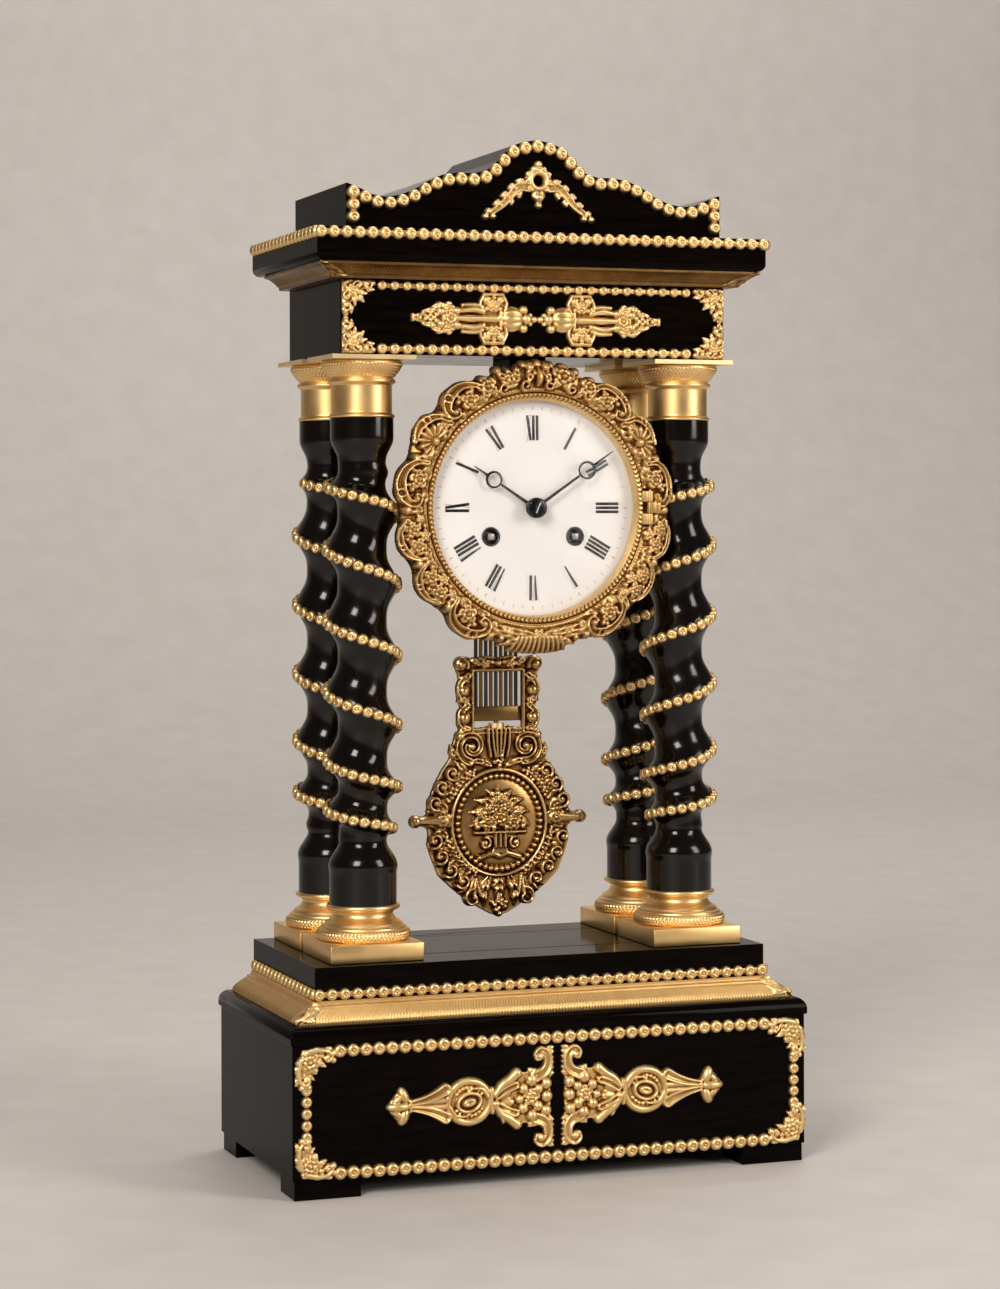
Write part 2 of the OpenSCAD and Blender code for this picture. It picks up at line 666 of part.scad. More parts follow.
// Slab with its two long upper edges rounded, running along Y.
module rounded_slab(half, length) {
    facing(length, ledge_z) linear_extrude(2 * length) {
        translate([-half + ledge_r, 0]) square([2 * half - 2 * ledge_r, ledge_h]);
        translate([-half, 0]) square([2 * half, ledge_h - ledge_r]);
        both_edges(half - ledge_r, ledge_h - ledge_r);
    }
}

// Quarter rounds at both ends of a profile.
module both_edges(x, y) {
    both() translate([x, y]) intersection() {
        circle(ledge_r);
        square(ledge_r);
    }
}

function cove(out, h, n = 7) =
    concat([[out, 0], [out, fillet_h]],
           [for (i = [0:n]) [fillet_h / 2 + (out - fillet_h) * (1 - sin(90 * i / n)),
                             fillet_h + (h - 2 * fillet_h) * (1 - cos(90 * i / n))]],
           [[fillet_h / 2, h]]);

module plinth_moulding() color(brass) placed() {
    half = plinth_w / 2;
    difference() {
        union() {
            intersection() {
                facing(plinth_back, plinth_z) linear_extrude(plinth_back + 2 * plinth_front)
                    both() run_x(half, cove(plinth_trim_side, plinth_trim_h), plinth_trim_h);
                translate([-plinth_w, 0, plinth_z]) rotate([90, 0, 90]) linear_extrude(2 * plinth_w)
                    union() {
                        mirror([1, 0])
                            run_x(plinth_front, cove(plinth_trim_front, plinth_trim_h), plinth_trim_h);
                        square([plinth_back, plinth_trim_h]);
                    }
            }
            both() translate([half + leaf_r / 2, -plinth_front - leaf_r / 2, plinth_z + plinth_trim_h / 2])
                sphere(leaf_r);
        }
        plinth_solid();
    }
}

module plinth_solid() {
    translate([-plinth_w / 2, -plinth_front, plinth_z])
        cube([plinth_w, plinth_front + plinth_back, plinth_h]);
}

module plinth_block() color(ebony) placed() {
    difference() {
        plinth_solid();
        at_columns() translate([0, 0, plinth_z - eps]) cylinder(r = bore_r, h = plinth_h + 2 * eps);
    }
}

module plinth_beads() color(brass) placed()
    bead_band(plinth_w, plinth_front, plinth_back, plinth_z + plinth_trim_h + bead_r);

module base_beads() color(brass) placed() {
    row_l = 0.85 * base_w;
    post_l = 0.39 * base_h;
    for (z = [base_z + bead_r + 0.6, ledge_z - bead_r - 0.6]) facing(-base_d / 2, z) bead_row(row_l);
    for (s = [-1, 1])
        translate([s * (base_w / 2 - 3 * bead_r), -base_d / 2, base_z + base_h / 2])
            rotate([90, 90, 0]) bead_row(post_l);
}

// Rosette with two hooks that run along the edges from the corner.
module corner_rosette() {
    boss([0, 0, rosette_r, 3]);
    for (i = [0:5])
        boss([rosette_r * cos(60 * i), rosette_r * sin(60 * i), petal_r, 1.8]);
    linear_extrude(mount_t) {
        circle(rosette_r + petal_r / 2);
        polygon(ribbon(spiral([6, 1.4], 3.2, 1.5, 200, -80), 2.2, 1.3));
        polygon(ribbon(spiral([1.4, 6], 3.2, 1.5, 250, 530), 2.2, 1.3));
    }
}

module base_corners() color(brass) placed() {
    x = base_w / 2 - corner_in;
    z = base_h / 2 - corner_in;
    for (sx = [0, 1], sz = [0, 1])
        facing(-base_d / 2, base_z + base_h / 2)
            mirror([sx, 0, 0]) mirror([0, sz, 0]) translate([x, z, 0]) rotate([0, 0, 180]) corner_rosette();
}

module base_mount() {
    for (b = base_bosses) ball(b);
    linear_extrude(mount_t) {
        polygon([[5, 3.4], [5, -3.4], [40, -2.6], [75, -1.4], [75, 1.4], [40, 2.6]]);
        polygon(oval([47, 0], 9.4, 12));
        for (s = [-1, 1]) {
            polygon(ribbon(spiral([7.5, s * 15.4], 7, 2, -s * 70, s * 320), 3.6, 2));
            polygon(leaf([44, s * 6], [68, s * 7], 5));
            polygon(leaf([52, 0], [72, s * 4.6], 4.6));
            polygon(leaf([18, s * 3], [36, s * 10], 5.4));
        }
        circle(4);
        translate([14, 0]) circle(11);
        translate([75.4, 0]) circle(6.6);
    }
    for (s = [-1, 1]) translate([28, s * 6.8, mount_t]) rotate_extrude() translate([4, 0]) circle(1.4);
    translate([47, 0, mount_t]) rotate_extrude() translate([8, 0]) circle(1.5);
}

// Both halves of the base ornament, each cut off at the middle and at the panel.
module base_mounts() color(brass) placed()
    facing(-base_d / 2, base_z + base_h / 2) both() difference() {
        base_mount();
        box_to([-base_w / 2, -base_h / 2, -base_h], [mount_seam, base_h / 2, base_h]);
        box_to([-base_w / 2, -base_h / 2, -base_h], [base_w / 2, base_h / 2, 0]);
    }

// Square plinth and turned base of each column.
module column_bases() color(brass) placed() at_columns() {
    difference() {
        translate([-column_plinth_w / 2, -column_plinth_w / 2, column_z])
            cube([column_plinth_w, column_plinth_w, column_plinth_h]);
        translate([0, 0, column_z - eps]) cylinder(r = bore_r, h = column_plinth_h + 2 * eps);
    }
    translate([0, 0, column_base_z]) {
        turned(base_profile, column_base_r, column_base_h, bore_r);
        translate([0, 0, torus_r]) rotate_extrude() translate([column_base_r - torus_r, 0]) circle(torus_r);
    }
}

module shaft_front_left() color(ebony) placed()
    translate([-column_x, -column_front, shaft_z]) shaft(front_left_turn);
module shaft_rear_left() color(ebony) placed()
    translate([-column_x, column_rear, shaft_z]) shaft(rear_left_turn);
module shaft_front_right() color(ebony) placed()
    translate([column_x, -column_front, shaft_z]) mirror([1, 0, 0]) shaft(front_right_turn);
module shaft_rear_right() color(ebony) placed()
    translate([column_x, column_rear, shaft_z]) mirror([1, 0, 0]) shaft(rear_right_turn);

module crest_beads() color(brass) placed() {
    translate([-column_x, -column_front, shaft_z]) crest_strip(front_left_turn);
    translate([-column_x, column_rear, shaft_z]) crest_strip(rear_left_turn);
    translate([column_x, -column_front, shaft_z]) mirror([1, 0, 0]) crest_strip(front_right_turn);
    translate([column_x, column_rear, shaft_z]) mirror([1, 0, 0]) crest_strip(rear_right_turn);
}

module capitals() color(brass) placed() at_columns() translate([0, 0, capital_z])
    turned(capital_profile, echinus_r, capital_h, bore_r);

module abacus_plates() color(brass) placed() at_columns() difference() {
    translate([-abacus_w / 2, -abacus_w / 2, abacus_z]) cube([abacus_w, abacus_w, abacus_t]);
    translate([0, 0, abacus_z - eps]) cylinder(r = bore_r, h = abacus_t + 2 * eps);
}

// Tie rods through base, columns and frieze, with a nut at each end.
module tie_rods() color(steel) placed() at_columns() {
    low = ledge_z - board_t - nut_h;
    high = frieze_z + board_t + nut_h;
    translate([0, 0, low]) cylinder(r = nut_w / 2, h = nut_h, $fn = 6);
    translate([0, 0, low - nut_h / 2]) cylinder(r = tie_rod_r, h = high - low + nut_h);
    translate([0, 0, high - nut_h]) cylinder(r = nut_w / 2, h = nut_h, $fn = 6);
}

module frieze_box() color(ebony) placed() {
    difference() {
        translate([-frieze_w / 2, -frieze_front, frieze_z])
            cube([frieze_w, frieze_front + frieze_back, frieze_h]);
        translate([-frieze_w / 2 + board_t, -frieze_front + board_t, frieze_z + board_t])
            cube([frieze_w - 2 * board_t, frieze_front + frieze_back - 2 * board_t, frieze_h]);
        at_columns() translate([0, 0, frieze_z - eps]) cylinder(r = bore_r, h = frieze_h);
        tie_nut_room();
    }
}

// Room for the upper nuts, which stand close to the frieze's walls.
module tie_nut_room() {
    at_columns() translate([0, 0, frieze_z + board_t]) cylinder(r = nut_w / 2 + tie_rod_room, h = frieze_h);
}

module frieze_beads() color(brass) placed() {
    row_l = 0.8 * frieze_w;
    small_r = 0.8 * bead_r;
    for (z = [frieze_z + small_r + 0.5, cornice_trim_z - small_r - 0.5])
        facing(-frieze_front, z) bead_row(row_l, small_r);
}

module frieze_corners() color(brass) placed() {
    x = frieze_w / 2 - 8.2;
    z = (frieze_h - cornice_trim_h) / 2;
    rise = z - 7.6;
    facing(-frieze_front, frieze_z + z) both() {
        for (s = [-1, 1]) {
            linear_extrude(mount_t) {
                polygon(leaf([x + 6, s * (rise + 5)], [x - 6, s * (rise + 3.4)], 6));
                polygon(leaf([x + 6, s * (rise + 5)], [x + 3.6, s * (rise - 8)], 6));
                translate([x, s * rise]) circle(4.6);
                translate([x + 5.2, s * (rise + 4.2)]) circle(1.8);
            }
            translate([x, s * rise, mount_t - eps]) dome(3);
        }
        translate([x + 3, -rise, 0]) cube([1.8, 2 * rise, mount_t / 2]);
    }
}

module frieze_mount() {
    for (b = frieze_bosses) ball(b);
    linear_extrude(mount_t) {
        polygon([[1, 3], [1, -3], [30, -2.4], [56, -1.2], [56, 1.2], [30, 2.4]]);
        polygon(leaf([46, 0], [62, 0], 7));
        translate([43, 0]) circle(7.4);
        translate([6, 0]) circle(6.6);
        for (s = [-1, 1]) {
            polygon(leaf([13, 0], [25, s * 11.4], 8));
            polygon(leaf([24, 0], [37, s * 6], 4));
            polygon(leaf([48, s * 2], [57, s * 5], 3));
        }
    }
    for (s = [-1, 1]) translate([4, s * 5.4, mount_t / 2]) sphere(2);
}

module frieze_mounts() color(brass) placed() {
    mid = frieze_z + (frieze_h - cornice_trim_h) / 2;
    facing(-frieze_front, mid) both() difference() {
        frieze_mount();
        box_to([-frieze_w / 2, -frieze_h / 2, -frieze_h], [mount_seam, frieze_h / 2, frieze_h]);
        box_to([-frieze_w / 2, -frieze_h / 2, -frieze_h], [frieze_w / 2, frieze_h / 2, 0]);
    }
}

function flare(h) =
    [[cornice_trim_foot - 0.6, 0], [cornice_trim_foot, 0.6], [cornice_trim_foot, fillet_h],
     [cornice_trim_foot + 0.8, fillet_h + 0.3], [cornice_trim_foot + 2, fillet_h + 1.3],
     [cornice_trim_over - 2.6, h - fillet_h - 0.6], [cornice_trim_over - 1, h - fillet_h],
     [cornice_trim_over, h - fillet_h], [cornice_trim_over, h]];

module cornice_moulding() color(brass) placed() {
    half = frieze_w / 2;
    h = cornice_trim_h;
    difference() {
        union() {
            intersection() {
                facing(frieze_back, cornice_trim_z) linear_extrude(frieze_back + 2 * frieze_front)
                    both() run_x(half, flare(h), h);
                translate([-frieze_w, 0, cornice_trim_z]) rotate([90, 0, 90]) linear_extrude(2 * frieze_w)
                    union() {
                        mirror([1, 0]) run_x(frieze_front, flare(h), h);
                        square([frieze_back, h]);
                    }
            }
            both() translate([half + 0.7 * cornice_trim_over - leaf_r, -frieze_front - cornice_trim_foot,
                              cornice_trim_z + leaf_r]) sphere(leaf_r);
        }
        translate([-half, -frieze_front, frieze_z]) cube([frieze_w, frieze_front + frieze_back, frieze_h]);
    }
}

// Cornice board with a rounded lower edge.
module cornice_board() color(ebony) placed() {
    side = frieze_w / 2 + cornice_over;
    front = frieze_front + cornice_over;
    back = frieze_back + cornice_back;
    intersection() {
        facing(back, cornice_z) linear_extrude(front + back) cornice_profile(-side, side);
        translate([-side, 0, cornice_z]) rotate([90, 0, 90]) linear_extrude(2 * side)
            cornice_profile(-front, back);
    }
}

module cornice_profile(low, high) {
    translate([low, cornice_r]) square([high - low, cornice_h - cornice_r]);
    translate([low + cornice_r, 0]) square([high - low - 2 * cornice_r, cornice_h]);
    translate([low + cornice_r, cornice_r]) circle(cornice_r);
    translate([high - cornice_r, cornice_r]) circle(cornice_r);
}

module cornice_beads() color(brass) placed()
    bead_band(frieze_w + 2 * cornice_over, frieze_front + cornice_over, frieze_back + cornice_back, beads_z);

module pediment() color(ebony) placed()
    facing(pediment_back, pediment_z) linear_extrude(pediment_front + pediment_back)
        polygon(concat(crest_all, [[pediment_w / 2, 0], [-pediment_w / 2, 0]]));

module pediment_beads() color(brass) placed() facing(-pediment_front, pediment_z) {
    total = bead_run[len(bead_run) - 1];
    count = floor(total / bead_pitch);
    end_x = pediment_w / 2 - bead_drop;
    end_z = bead_line[0][1];
    linear_extrude(bead_strip_t) polygon(ribbon(bead_line, bead_strip_w, bead_strip_w));
    for (i = [0:count])
        translate([lookup(i * total / count, bead_run_x), lookup(i * total / count, bead_run_z), 0])
            dome(bead_r);
    both() translate([end_x, 0, 0]) {
        for (k = [1, 2]) translate([0, end_z - k * bead_pitch, 0]) dome(bead_r);
        translate([-bead_strip_w / 2, end_z - 2 * bead_pitch, 0])
            cube([bead_strip_w, 2 * bead_pitch, bead_strip_t]);
    }
}

// Leafy pierced mount: ring, ball finial, drop and two scrolled legs.
module pediment_mount() color(brass) placed() facing(-pediment_front, pediment_z + pediment_h / 2) {
    intersection() {
        union() {
            difference() {
                linear_extrude(mount_t) {
                    circle(8);
                    for (s = [-1, 1]) {
                        polygon(ribbon(spiral([s * 14, -8], 9, 3, s == 1 ? 130 : 50,
                            s == 1 ? -60 : 240), 4.4, 3));
                        polygon(leaf([s * 15, -6], [s * 27, -15], 6));
                        polygon(leaf([s * 4, 4], [s * 15, 3], 5));
                        polygon(leaf([s * 2, -5], [s * 8, -12], 4));
                    }
                    polygon(leaf([0, 4], [0, 12.5], 5));
                    polygon(leaf([0, -4], [0, -11.5], 5));
                }
                translate([0, 0, -eps]) cylinder(r = 3.2, h = mount_t + 2 * eps);
            }
            translate([0, 0, mount_t]) rotate_extrude() translate([5.6, 0]) circle(1.6);
            boss([0, 10.6, 2.4, 3]);
            boss([0, -9.4, 2.2, 2.6]);
            for (s = [-1, 1]) {
                boss([s * 14, -8, 3, 3.2]);
                boss([s * 22, -11.6, 2.6, 2.8]);
            }
        }
        box_to([-40, -22, 0], [40, 22, mount_relief]);
    }
}

// Block between frieze and drum, hollowed to the drum.
module saddle() color(ebony) placed() difference() {
    box_to([-saddle_w / 2, rim_y + 4, dial_z + drum_in_r - 6], [saddle_w / 2, rim_y + 4 + saddle_d, frieze_z]);
    movement(drum_end_y) cylinder(r = drum_in_r + drum_t + plate_fit / 2, h = drum_end_y - rim_y);
}

// Drum with the front flange that carries the surround.
module drum() color(brass) placed() movement(drum_end_y) {
    length = drum_end_y - rim_y;
    seat = drum_end_y - flange_y;
    rotate_extrude() polygon([[drum_in_r, 0], [drum_in_r + drum_t, 0], [drum_in_r + drum_t, length - 0.6],
                              [flange_r, length - 0.6], [flange_r, seat], [dial_r + door_gap, seat],
                              [dial_r + door_gap, length], [drum_in_r, length]]);
}

// Cast ring with a pocket for the hinge, its fixed knuckle and the pin.
module surround() color(brass) placed() {
    lobe_r = 6.8;
    rise = flange_y - lobe_y;
    pocket = 1.5 * knuckle_l + 1.2;
    wall_x = hinge_x + knuckle_r + 0.9;
    difference() {
        union() {
            movement(flange_y) rotate_extrude()
                polygon([[surround_in_r, 0], [flange_r, 0], [flange_r, rise + 1.4], [flange_r - 2, rise + 3.6],
                         [surround_in_r + 3.4, surround_relief], [surround_in_r + 1, surround_relief - 0.4],
                         [surround_in_r, surround_relief - 1.4]]);
            movement(lobe_y) for (i = [0:surround_lobes - 1])
                rotate([0, 0, 360 * (i + 0.5) / surround_lobes]) surround_lobe(lobe_r);
        }
        box_to([surround_in_r - 2, door_front_y - 6, dial_z - pocket],
            [wall_x, flange_y + eps, dial_z + pocket]);
    }
    box_to([wall_x - eps, hinge_y - knuckle_r, dial_z - knuckle_l / 2],
           [wall_x + 2.4, flange_y - 2, dial_z + knuckle_l / 2]);
    box_to([hinge_x, hinge_y - knuckle_r, dial_z - knuckle_l / 2],
           [wall_x + eps, hinge_y + knuckle_r / 2, dial_z + knuckle_l / 2]);
    translate([hinge_x, hinge_y, dial_z - knuckle_l / 2]) cylinder(r = knuckle_r, h = knuckle_l);
    translate([hinge_x, hinge_y, dial_z - 1.5 * knuckle_l - 1])
        cylinder(r = hinge_pin_r, h = 3 * knuckle_l + 2);
}

// One lobe of the surround with a rose, a scroll rim and small side buds.
module surround_lobe(r) {
    reach = surround_r - r;
    intersection() {
        union() {
            translate([reach, 0, 0]) dome(0.62 * r);
            translate([reach, 0, 0]) rotate_extrude() translate([r - 1.3, 0]) circle(1.3);
            translate([reach, 0, 0]) cylinder(r = r - 1, h = mount_t);
        }
        cylinder(r = 2 * surround_r, h = surround_relief);
    }
    rotate([0, 0, 180 / surround_lobes]) translate([reach - 0.4, 0, 0]) dome(3.6);
}

module dial() color(enamel) placed() movement(rim_y) {
    steps = 9;
    difference() {
        rotate_extrude() polygon(concat([[0, 0], [dial_r, 0]], [for (i = [steps:-1:0])
            [dial_r * i / steps, dial_t + dial_dome * (1 - i * i / steps / steps)]]));
        translate([0, 0, -eps]) cylinder(r = hour_pipe_r + door_gap, h = 9);
        for (s = [-1, 1])
            translate([s * winding_x, -winding_drop, -eps]) cylinder(r = winding_hole_r, h = 9);
    }
}

module plate_holes() {
    cylinder(r = centre_arbor_r + run_fit, h = 9, center = true);
    for (s = [-1, 1])
        translate([s * winding_x, -winding_drop, 0])
            cylinder(r = winding_arbor_r + run_fit, h = 9, center = true);
    for (p = [second_at, third_at, escape_at, pallet_at])
        translate([p[0], p[1], 0]) cylinder(r = arbor_r + run_fit, h = 9, center = true);
}

// Front plate with the stud that the minute wheel turns on.
module front_plate() color(brass) placed() {
    movement(front_plate_y + plate_t) difference() {
        cylinder(r = plate_r, h = plate_t);
        plate_holes();
    }
    movement(front_plate_y + eps, motion_at) cylinder(r = arbor_r, h = 5.4);
}

module back_plate() color(brass) placed() movement(movement_end_y) difference() {
    cylinder(r = plate_r, h = plate_t);
    plate_holes();
    translate([hammer_at[0], hammer_at[1], 0]) cylinder(r = arbor_r + run_fit, h = 9, center = true);
}

module pillars() color(brass) placed()
    for (sx = [-1, 1], sz = [-1, 1])
        movement(back_plate_y, [sx * pillar_at[0], sz * pillar_at[1]]) cylinder(r = pillar_r, h = plate_gap);

// Bracket on the back plate that carries the suspension spring.
module back_cock() color(brass) placed() {
    low = pivot_z + 3.5;
    box_to([-11, movement_end_y, low], [11, movement_end_y + 2, low + 8]);
    box_to([-5, movement_end_y + 2 - eps, low], [5, pendulum_back + 4, low + 4]);
}

module bell() color(brass) placed() movement(bell_back + bell_h) {
    stud = bell_post_r + run_fit;
    rotate_extrude()
        polygon([[stud, 0], [7, 0], [14, 1.2], [21, 4.2], [25.6, 8.6], [28, 13], [bell_r, bell_h],
                              [bell_r - bell_t, bell_h], [28 - bell_t - 0.4, 13], [24.6 - bell_t, 9.2],
                              [20.4 - bell_t / 2, 5.6], [13.6, 1.2 + bell_t], [7, bell_t], [stud, bell_t]]);
}

// Post beside the pendulum, arm behind it and stud through the bell.
module bell_stand() color(steel) placed() {
    arm_y = bell_back + 0.3 * bell_h;
    reach = norm(bell_post_at);
    end_y = bell_back + bell_h;
    movement(arm_y + bell_post_r, bell_post_at)
        cylinder(r = bell_post_r, h = arm_y + bell_post_r - movement_end_y);
    movement(arm_y + bell_post_r) rotate([0, 0, toward([0, 0], bell_post_at)])
        translate([0, -bell_post_r, 0]) cube([reach, 2 * bell_post_r, 2 * bell_post_r]);
    movement(end_y + 4) cylinder(r = bell_post_r, h = end_y + 4 - arm_y);
    movement(end_y - bell_t - 0.2) cylinder(r = 4, h = 2);
    movement(end_y + 2.6) cylinder(r = 4, h = 2.4, $fn = 6);
}

module hammer() color(steel) placed() {
    bell_side = 200;
    gap = bell_r + hammer_gap + hammer_r;
    head = gap * [cos(bell_side), sin(bell_side)];
    arm = norm(head - hammer_at);
    arm_y = movement_end_y + 4;
    movement(arm_y, hammer_at) cylinder(r = arbor_r, h = arm_y - back_plate_y + 2);
    movement(arm_y, hammer_at) cylinder(r = 2.6, h = 2);
    movement(arm_y, hammer_at) rotate([0, 0, toward(hammer_at, head)]) translate([0, -1, 0])
        cube([arm, 2, 2]);
    movement(bell_back + 1, head) cylinder(r = 1.2, h = bell_back + 1 - arm_y + 2);
    movement(bell_back + 4, head) cylinder(r = hammer_r, h = 5);
}

// Glazed ring with its two hinge knuckles.
module door_ring() color(brass) placed() {
    inner = door_r - door_wall;
    lip = door_depth - door_wall;
    movement(door_back_y) rotate_extrude()
        polygon([[inner, 0], [door_r, 0], [door_r, door_depth - 0.6], [door_r - 0.6, door_depth],
                 [door_sight_r + 1, door_depth], [door_sight_r, door_depth - 0.8], [door_sight_r, lip],
                 [inner, lip]]);
    for (s = [-1, 1]) difference() {
        low = dial_z + (s == 1 ? knuckle_l / 2 + 0.3 : -1.5 * knuckle_l - 0.3);
        union() {
            box_to([door_r - 1.4, hinge_y - 0.8, low], [hinge_x, hinge_y + 0.8, low + knuckle_l]);
            translate([hinge_x, hinge_y, low]) cylinder(r = knuckle_r, h = knuckle_l);
        }
        translate([hinge_x, hinge_y, low - eps]) cylinder(r = hinge_pin_r + run_fit, h = knuckle_l + 2 * eps);
    }
}

module door_glass() color(clear) placed() movement(glass_rim_y) {
    ball = (glass_r * glass_r + glass_dome * glass_dome) / (2 * glass_dome);
    rotate_extrude() intersection() {
        translate([0, glass_dome - ball]) difference() {
            circle(ball, $fn = fine_fn);
            circle(ball - glass_t, $fn = fine_fn);
        }
        translate([0, -2 * glass_t]) square([glass_r, glass_dome + 3 * glass_t]);
    }
}

// Hand with a pierced ring near its pointed tip, drawn pointing up.
module hand(length, ring_at, ring_r, hub_r, hole_r) {
    difference() {
        union() {
            circle(hub_r);
            polygon([[-0.8, 0], [0.8, 0], [0.45, ring_at - ring_r + 0.6], [-0.45, ring_at - ring_r + 0.6]]);
            translate([0, ring_at]) circle(ring_r);
            polygon([[-0.6, ring_at + ring_r - 0.6], [0.6, ring_at + ring_r - 0.6], [0.15, length],
                     [-0.15, length]]);
        }
        translate([0, ring_at - 0.2]) circle(0.78 * ring_r);
        circle(hole_r);
    }
}

module minute_hand() color(blued) placed() movement(minute_hand_y) {
    rotate([0, 0, -minute_angle]) linear_extrude(hand_t) hand(minute_l, 31, 4.3, 4, cannon_r + run_fit);
    translate([0, 0, hand_t - eps]) boss([0, 0, boss_r, 1.6]);
}

module hour_hand() color(blued) placed() movement(hour_hand_y)
    rotate([0, 0, -hour_angle]) linear_extrude(hand_t) hand(hour_l, 24, 4, 4.4, hour_pipe_r + run_fit);

// Cannon pinion: pipe over the centre arbor with the leaves that drive the minute wheel.
module cannon_pinion() color(steel) placed() {
    length = cannon_y - minute_hand_y + hand_t / 2;
    movement(cannon_y) wheel(cannon_teeth, cannon_module, wheel_t, 90, centre_arbor_r + run_fit);
    movement(cannon_y - eps) difference() {
        cylinder(r = cannon_r, h = length);
        translate([0, 0, -eps]) cylinder(r = centre_arbor_r + run_fit, h = length + 2 * eps);
    }
}

module minute_wheel() color(brass) placed() movement(cannon_y, motion_at) {
    bore = arbor_r + run_fit;
    gap_at = 270 + 180 / minute_teeth;
    wheel(minute_teeth, cannon_module, wheel_t, gap_at, bore);
    translate([0, 0, wheel_t - eps])
        wheel(minute_leaves, hour_module, 2.9, 270, bore);
}

module hour_wheel() color(brass) placed() {
    bore = cannon_r + run_fit;
    length = hour_wheel_y - hour_hand_y + hand_t;
    movement(hour_wheel_y) wheel(hour_teeth, hour_module, wheel_t, 90 + 180 / hour_teeth, bore);
    movement(hour_wheel_y - eps) difference() {
        cylinder(r = hour_pipe_r, h = length);
        translate([0, 0, -eps]) cylinder(r = bore, h = length + 2 * eps);
    }
}

// Arbor between the plates, flush with their outer faces.
module arbor(r, at) movement(movement_end_y, at) cylinder(r = r, h = movement_end_y - front_plate_y);

module centre_wheel() color(brass) placed() {
    to_third = toward([0, 0], third_at);
    to_second = toward([0, 0], second_at);
    movement(movement_end_y) cylinder(r = centre_arbor_r, h = movement_end_y - minute_hand_y + hand_t / 2);
    movement(centre_wheel_y) spoked(centre_teeth, centre_module, wheel_t, to_third, centre_arbor_r - eps);
    movement(second_wheel_y + 0.5)
        wheel(low_leaves, low_module, wheel_t + 1, to_second + 180 / low_leaves, centre_arbor_r - eps);
}

module second_wheel() color(brass) placed() {
    to_centre = toward(second_at, [0, 0]);
    to_barrel = toward(second_at, barrel_at);
    arbor(arbor_r, second_at);
    movement(second_wheel_y, second_at) spoked(second_teeth, low_module, wheel_t, to_centre, arbor_r - eps);
    movement(barrel_y + wheel_t + 0.5, second_at)
        wheel(low_leaves, low_module, wheel_t + 1, to_barrel + 180 / low_leaves, arbor_r - eps);
}

module third_wheel() color(brass) placed() {
    to_centre = toward(third_at, [0, 0]);
    to_escape = toward(third_at, escape_at);
    arbor(arbor_r, third_at);
    movement(third_wheel_y, third_at) spoked(third_teeth, third_module, wheel_t, to_escape, arbor_r - eps);
    movement(centre_wheel_y + 0.4, third_at)
        wheel(high_leaves, centre_module, wheel_t + 0.6, to_centre + 180 / high_leaves, arbor_r - eps);
}

module escape_wheel() color(brass) placed() {
    to_third = toward(escape_at, third_at);
    arbor(arbor_r, escape_at);
    movement(escape_y, escape_at) linear_extrude(wheel_t) difference() {
        polygon(saw_points(escape_teeth, escape_r));
        circle(arbor_r - eps);
    }
    movement(third_wheel_y + 0.5, escape_at)
        wheel(high_leaves, third_module, wheel_t + 1, to_third + 180 / high_leaves, arbor_r - eps);
}

// Pallets over the escape wheel, arbor, and the crutch that leads the pendulum.
module pallets() color(steel) placed() {
    down = escape_at - pallet_at;
    fork_y = pendulum_back + 3;
    prong_r = 0.8;
    prong_x = pendulum_rod_r + prong_r + 0.2;
    movement(crutch_y, pallet_at) cylinder(r = arbor_r, h = crutch_y - front_plate_y);
    movement(escape_y + 0.8, pallet_at) linear_extrude(wheel_t + 1.6) difference() {
        union() {
            circle(2.4);
            for (s = [-1, 1]) polygon([[0, 1.6], [s * 7.6, -3.2], [s * 10, -7.4], [s * 7.8, -8], [0, -1.6]]);
        }
        circle(arbor_r - eps);
        translate(down) circle(pallet_clear);
    }
    movement(crutch_y, pallet_at) {
        difference() {
            cylinder(r = 2.4, h = 2);
            translate([0, 0, -eps]) cylinder(r = arbor_r - eps, h = 2 + 2 * eps);
        }
        box_to([-1, -crutch_l, 0], [1, -2, 2]);
        box_to([-prong_x - prong_r, -crutch_l - 2, 0], [prong_x + prong_r, -crutch_l, 2]);
    }
    for (s = [-1, 1])
        movement(fork_y, pallet_at + [s * prong_x, -crutch_l - 1])
            cylinder(r = prong_r, h = fork_y - crutch_y + 1);
}

// Spring barrel with its toothed rim.
module barrel(at, mesh) {
    bore = winding_arbor_r + run_fit;
    movement(barrel_y + wheel_t, at) wheel(barrel_teeth, low_module, wheel_t, mesh, bore);
    movement(barrel_y + eps, at) difference() {
        cylinder(r = barrel_r, h = barrel_l);
        translate([0, 0, -eps]) cylinder(r = bore, h = barrel_l + 2 * eps);
    }
}

module going_barrel() color(brass) placed() barrel(barrel_at, toward(barrel_at, second_at));
module strike_barrel() color(brass) placed() barrel([-barrel_at[0], barrel_at[1]], 0);

// Arbor with the square that the key turns.
module winding_arbor(at) {
    square_y = rim_y + 2;
    movement(movement_end_y, at) cylinder(r = winding_arbor_r, h = movement_end_y - square_y);
    movement(square_y + eps, at) translate([-winding_square / 2, -winding_square / 2, 0])
        cube([winding_square, winding_square, square_y - dial_y + 0.4]);
}

module going_winding_arbor() color(steel) placed() winding_arbor(barrel_at);
module strike_winding_arbor() color(steel) placed() winding_arbor([-barrel_at[0], barrel_at[1]]);

// Thin spring strip that the pendulum bends, with its lower block.
module suspension_spring() color(steel) placed() {
    top = pivot_z + 3.2;
    box_to([-2, pendulum_back - 0.15, top - 14], [2, pendulum_back + 0.15, top]);
    box_to([-3, pendulum_back - 1.5, top - 18], [3, pendulum_back + 1.5, top - 14 + eps]);
}

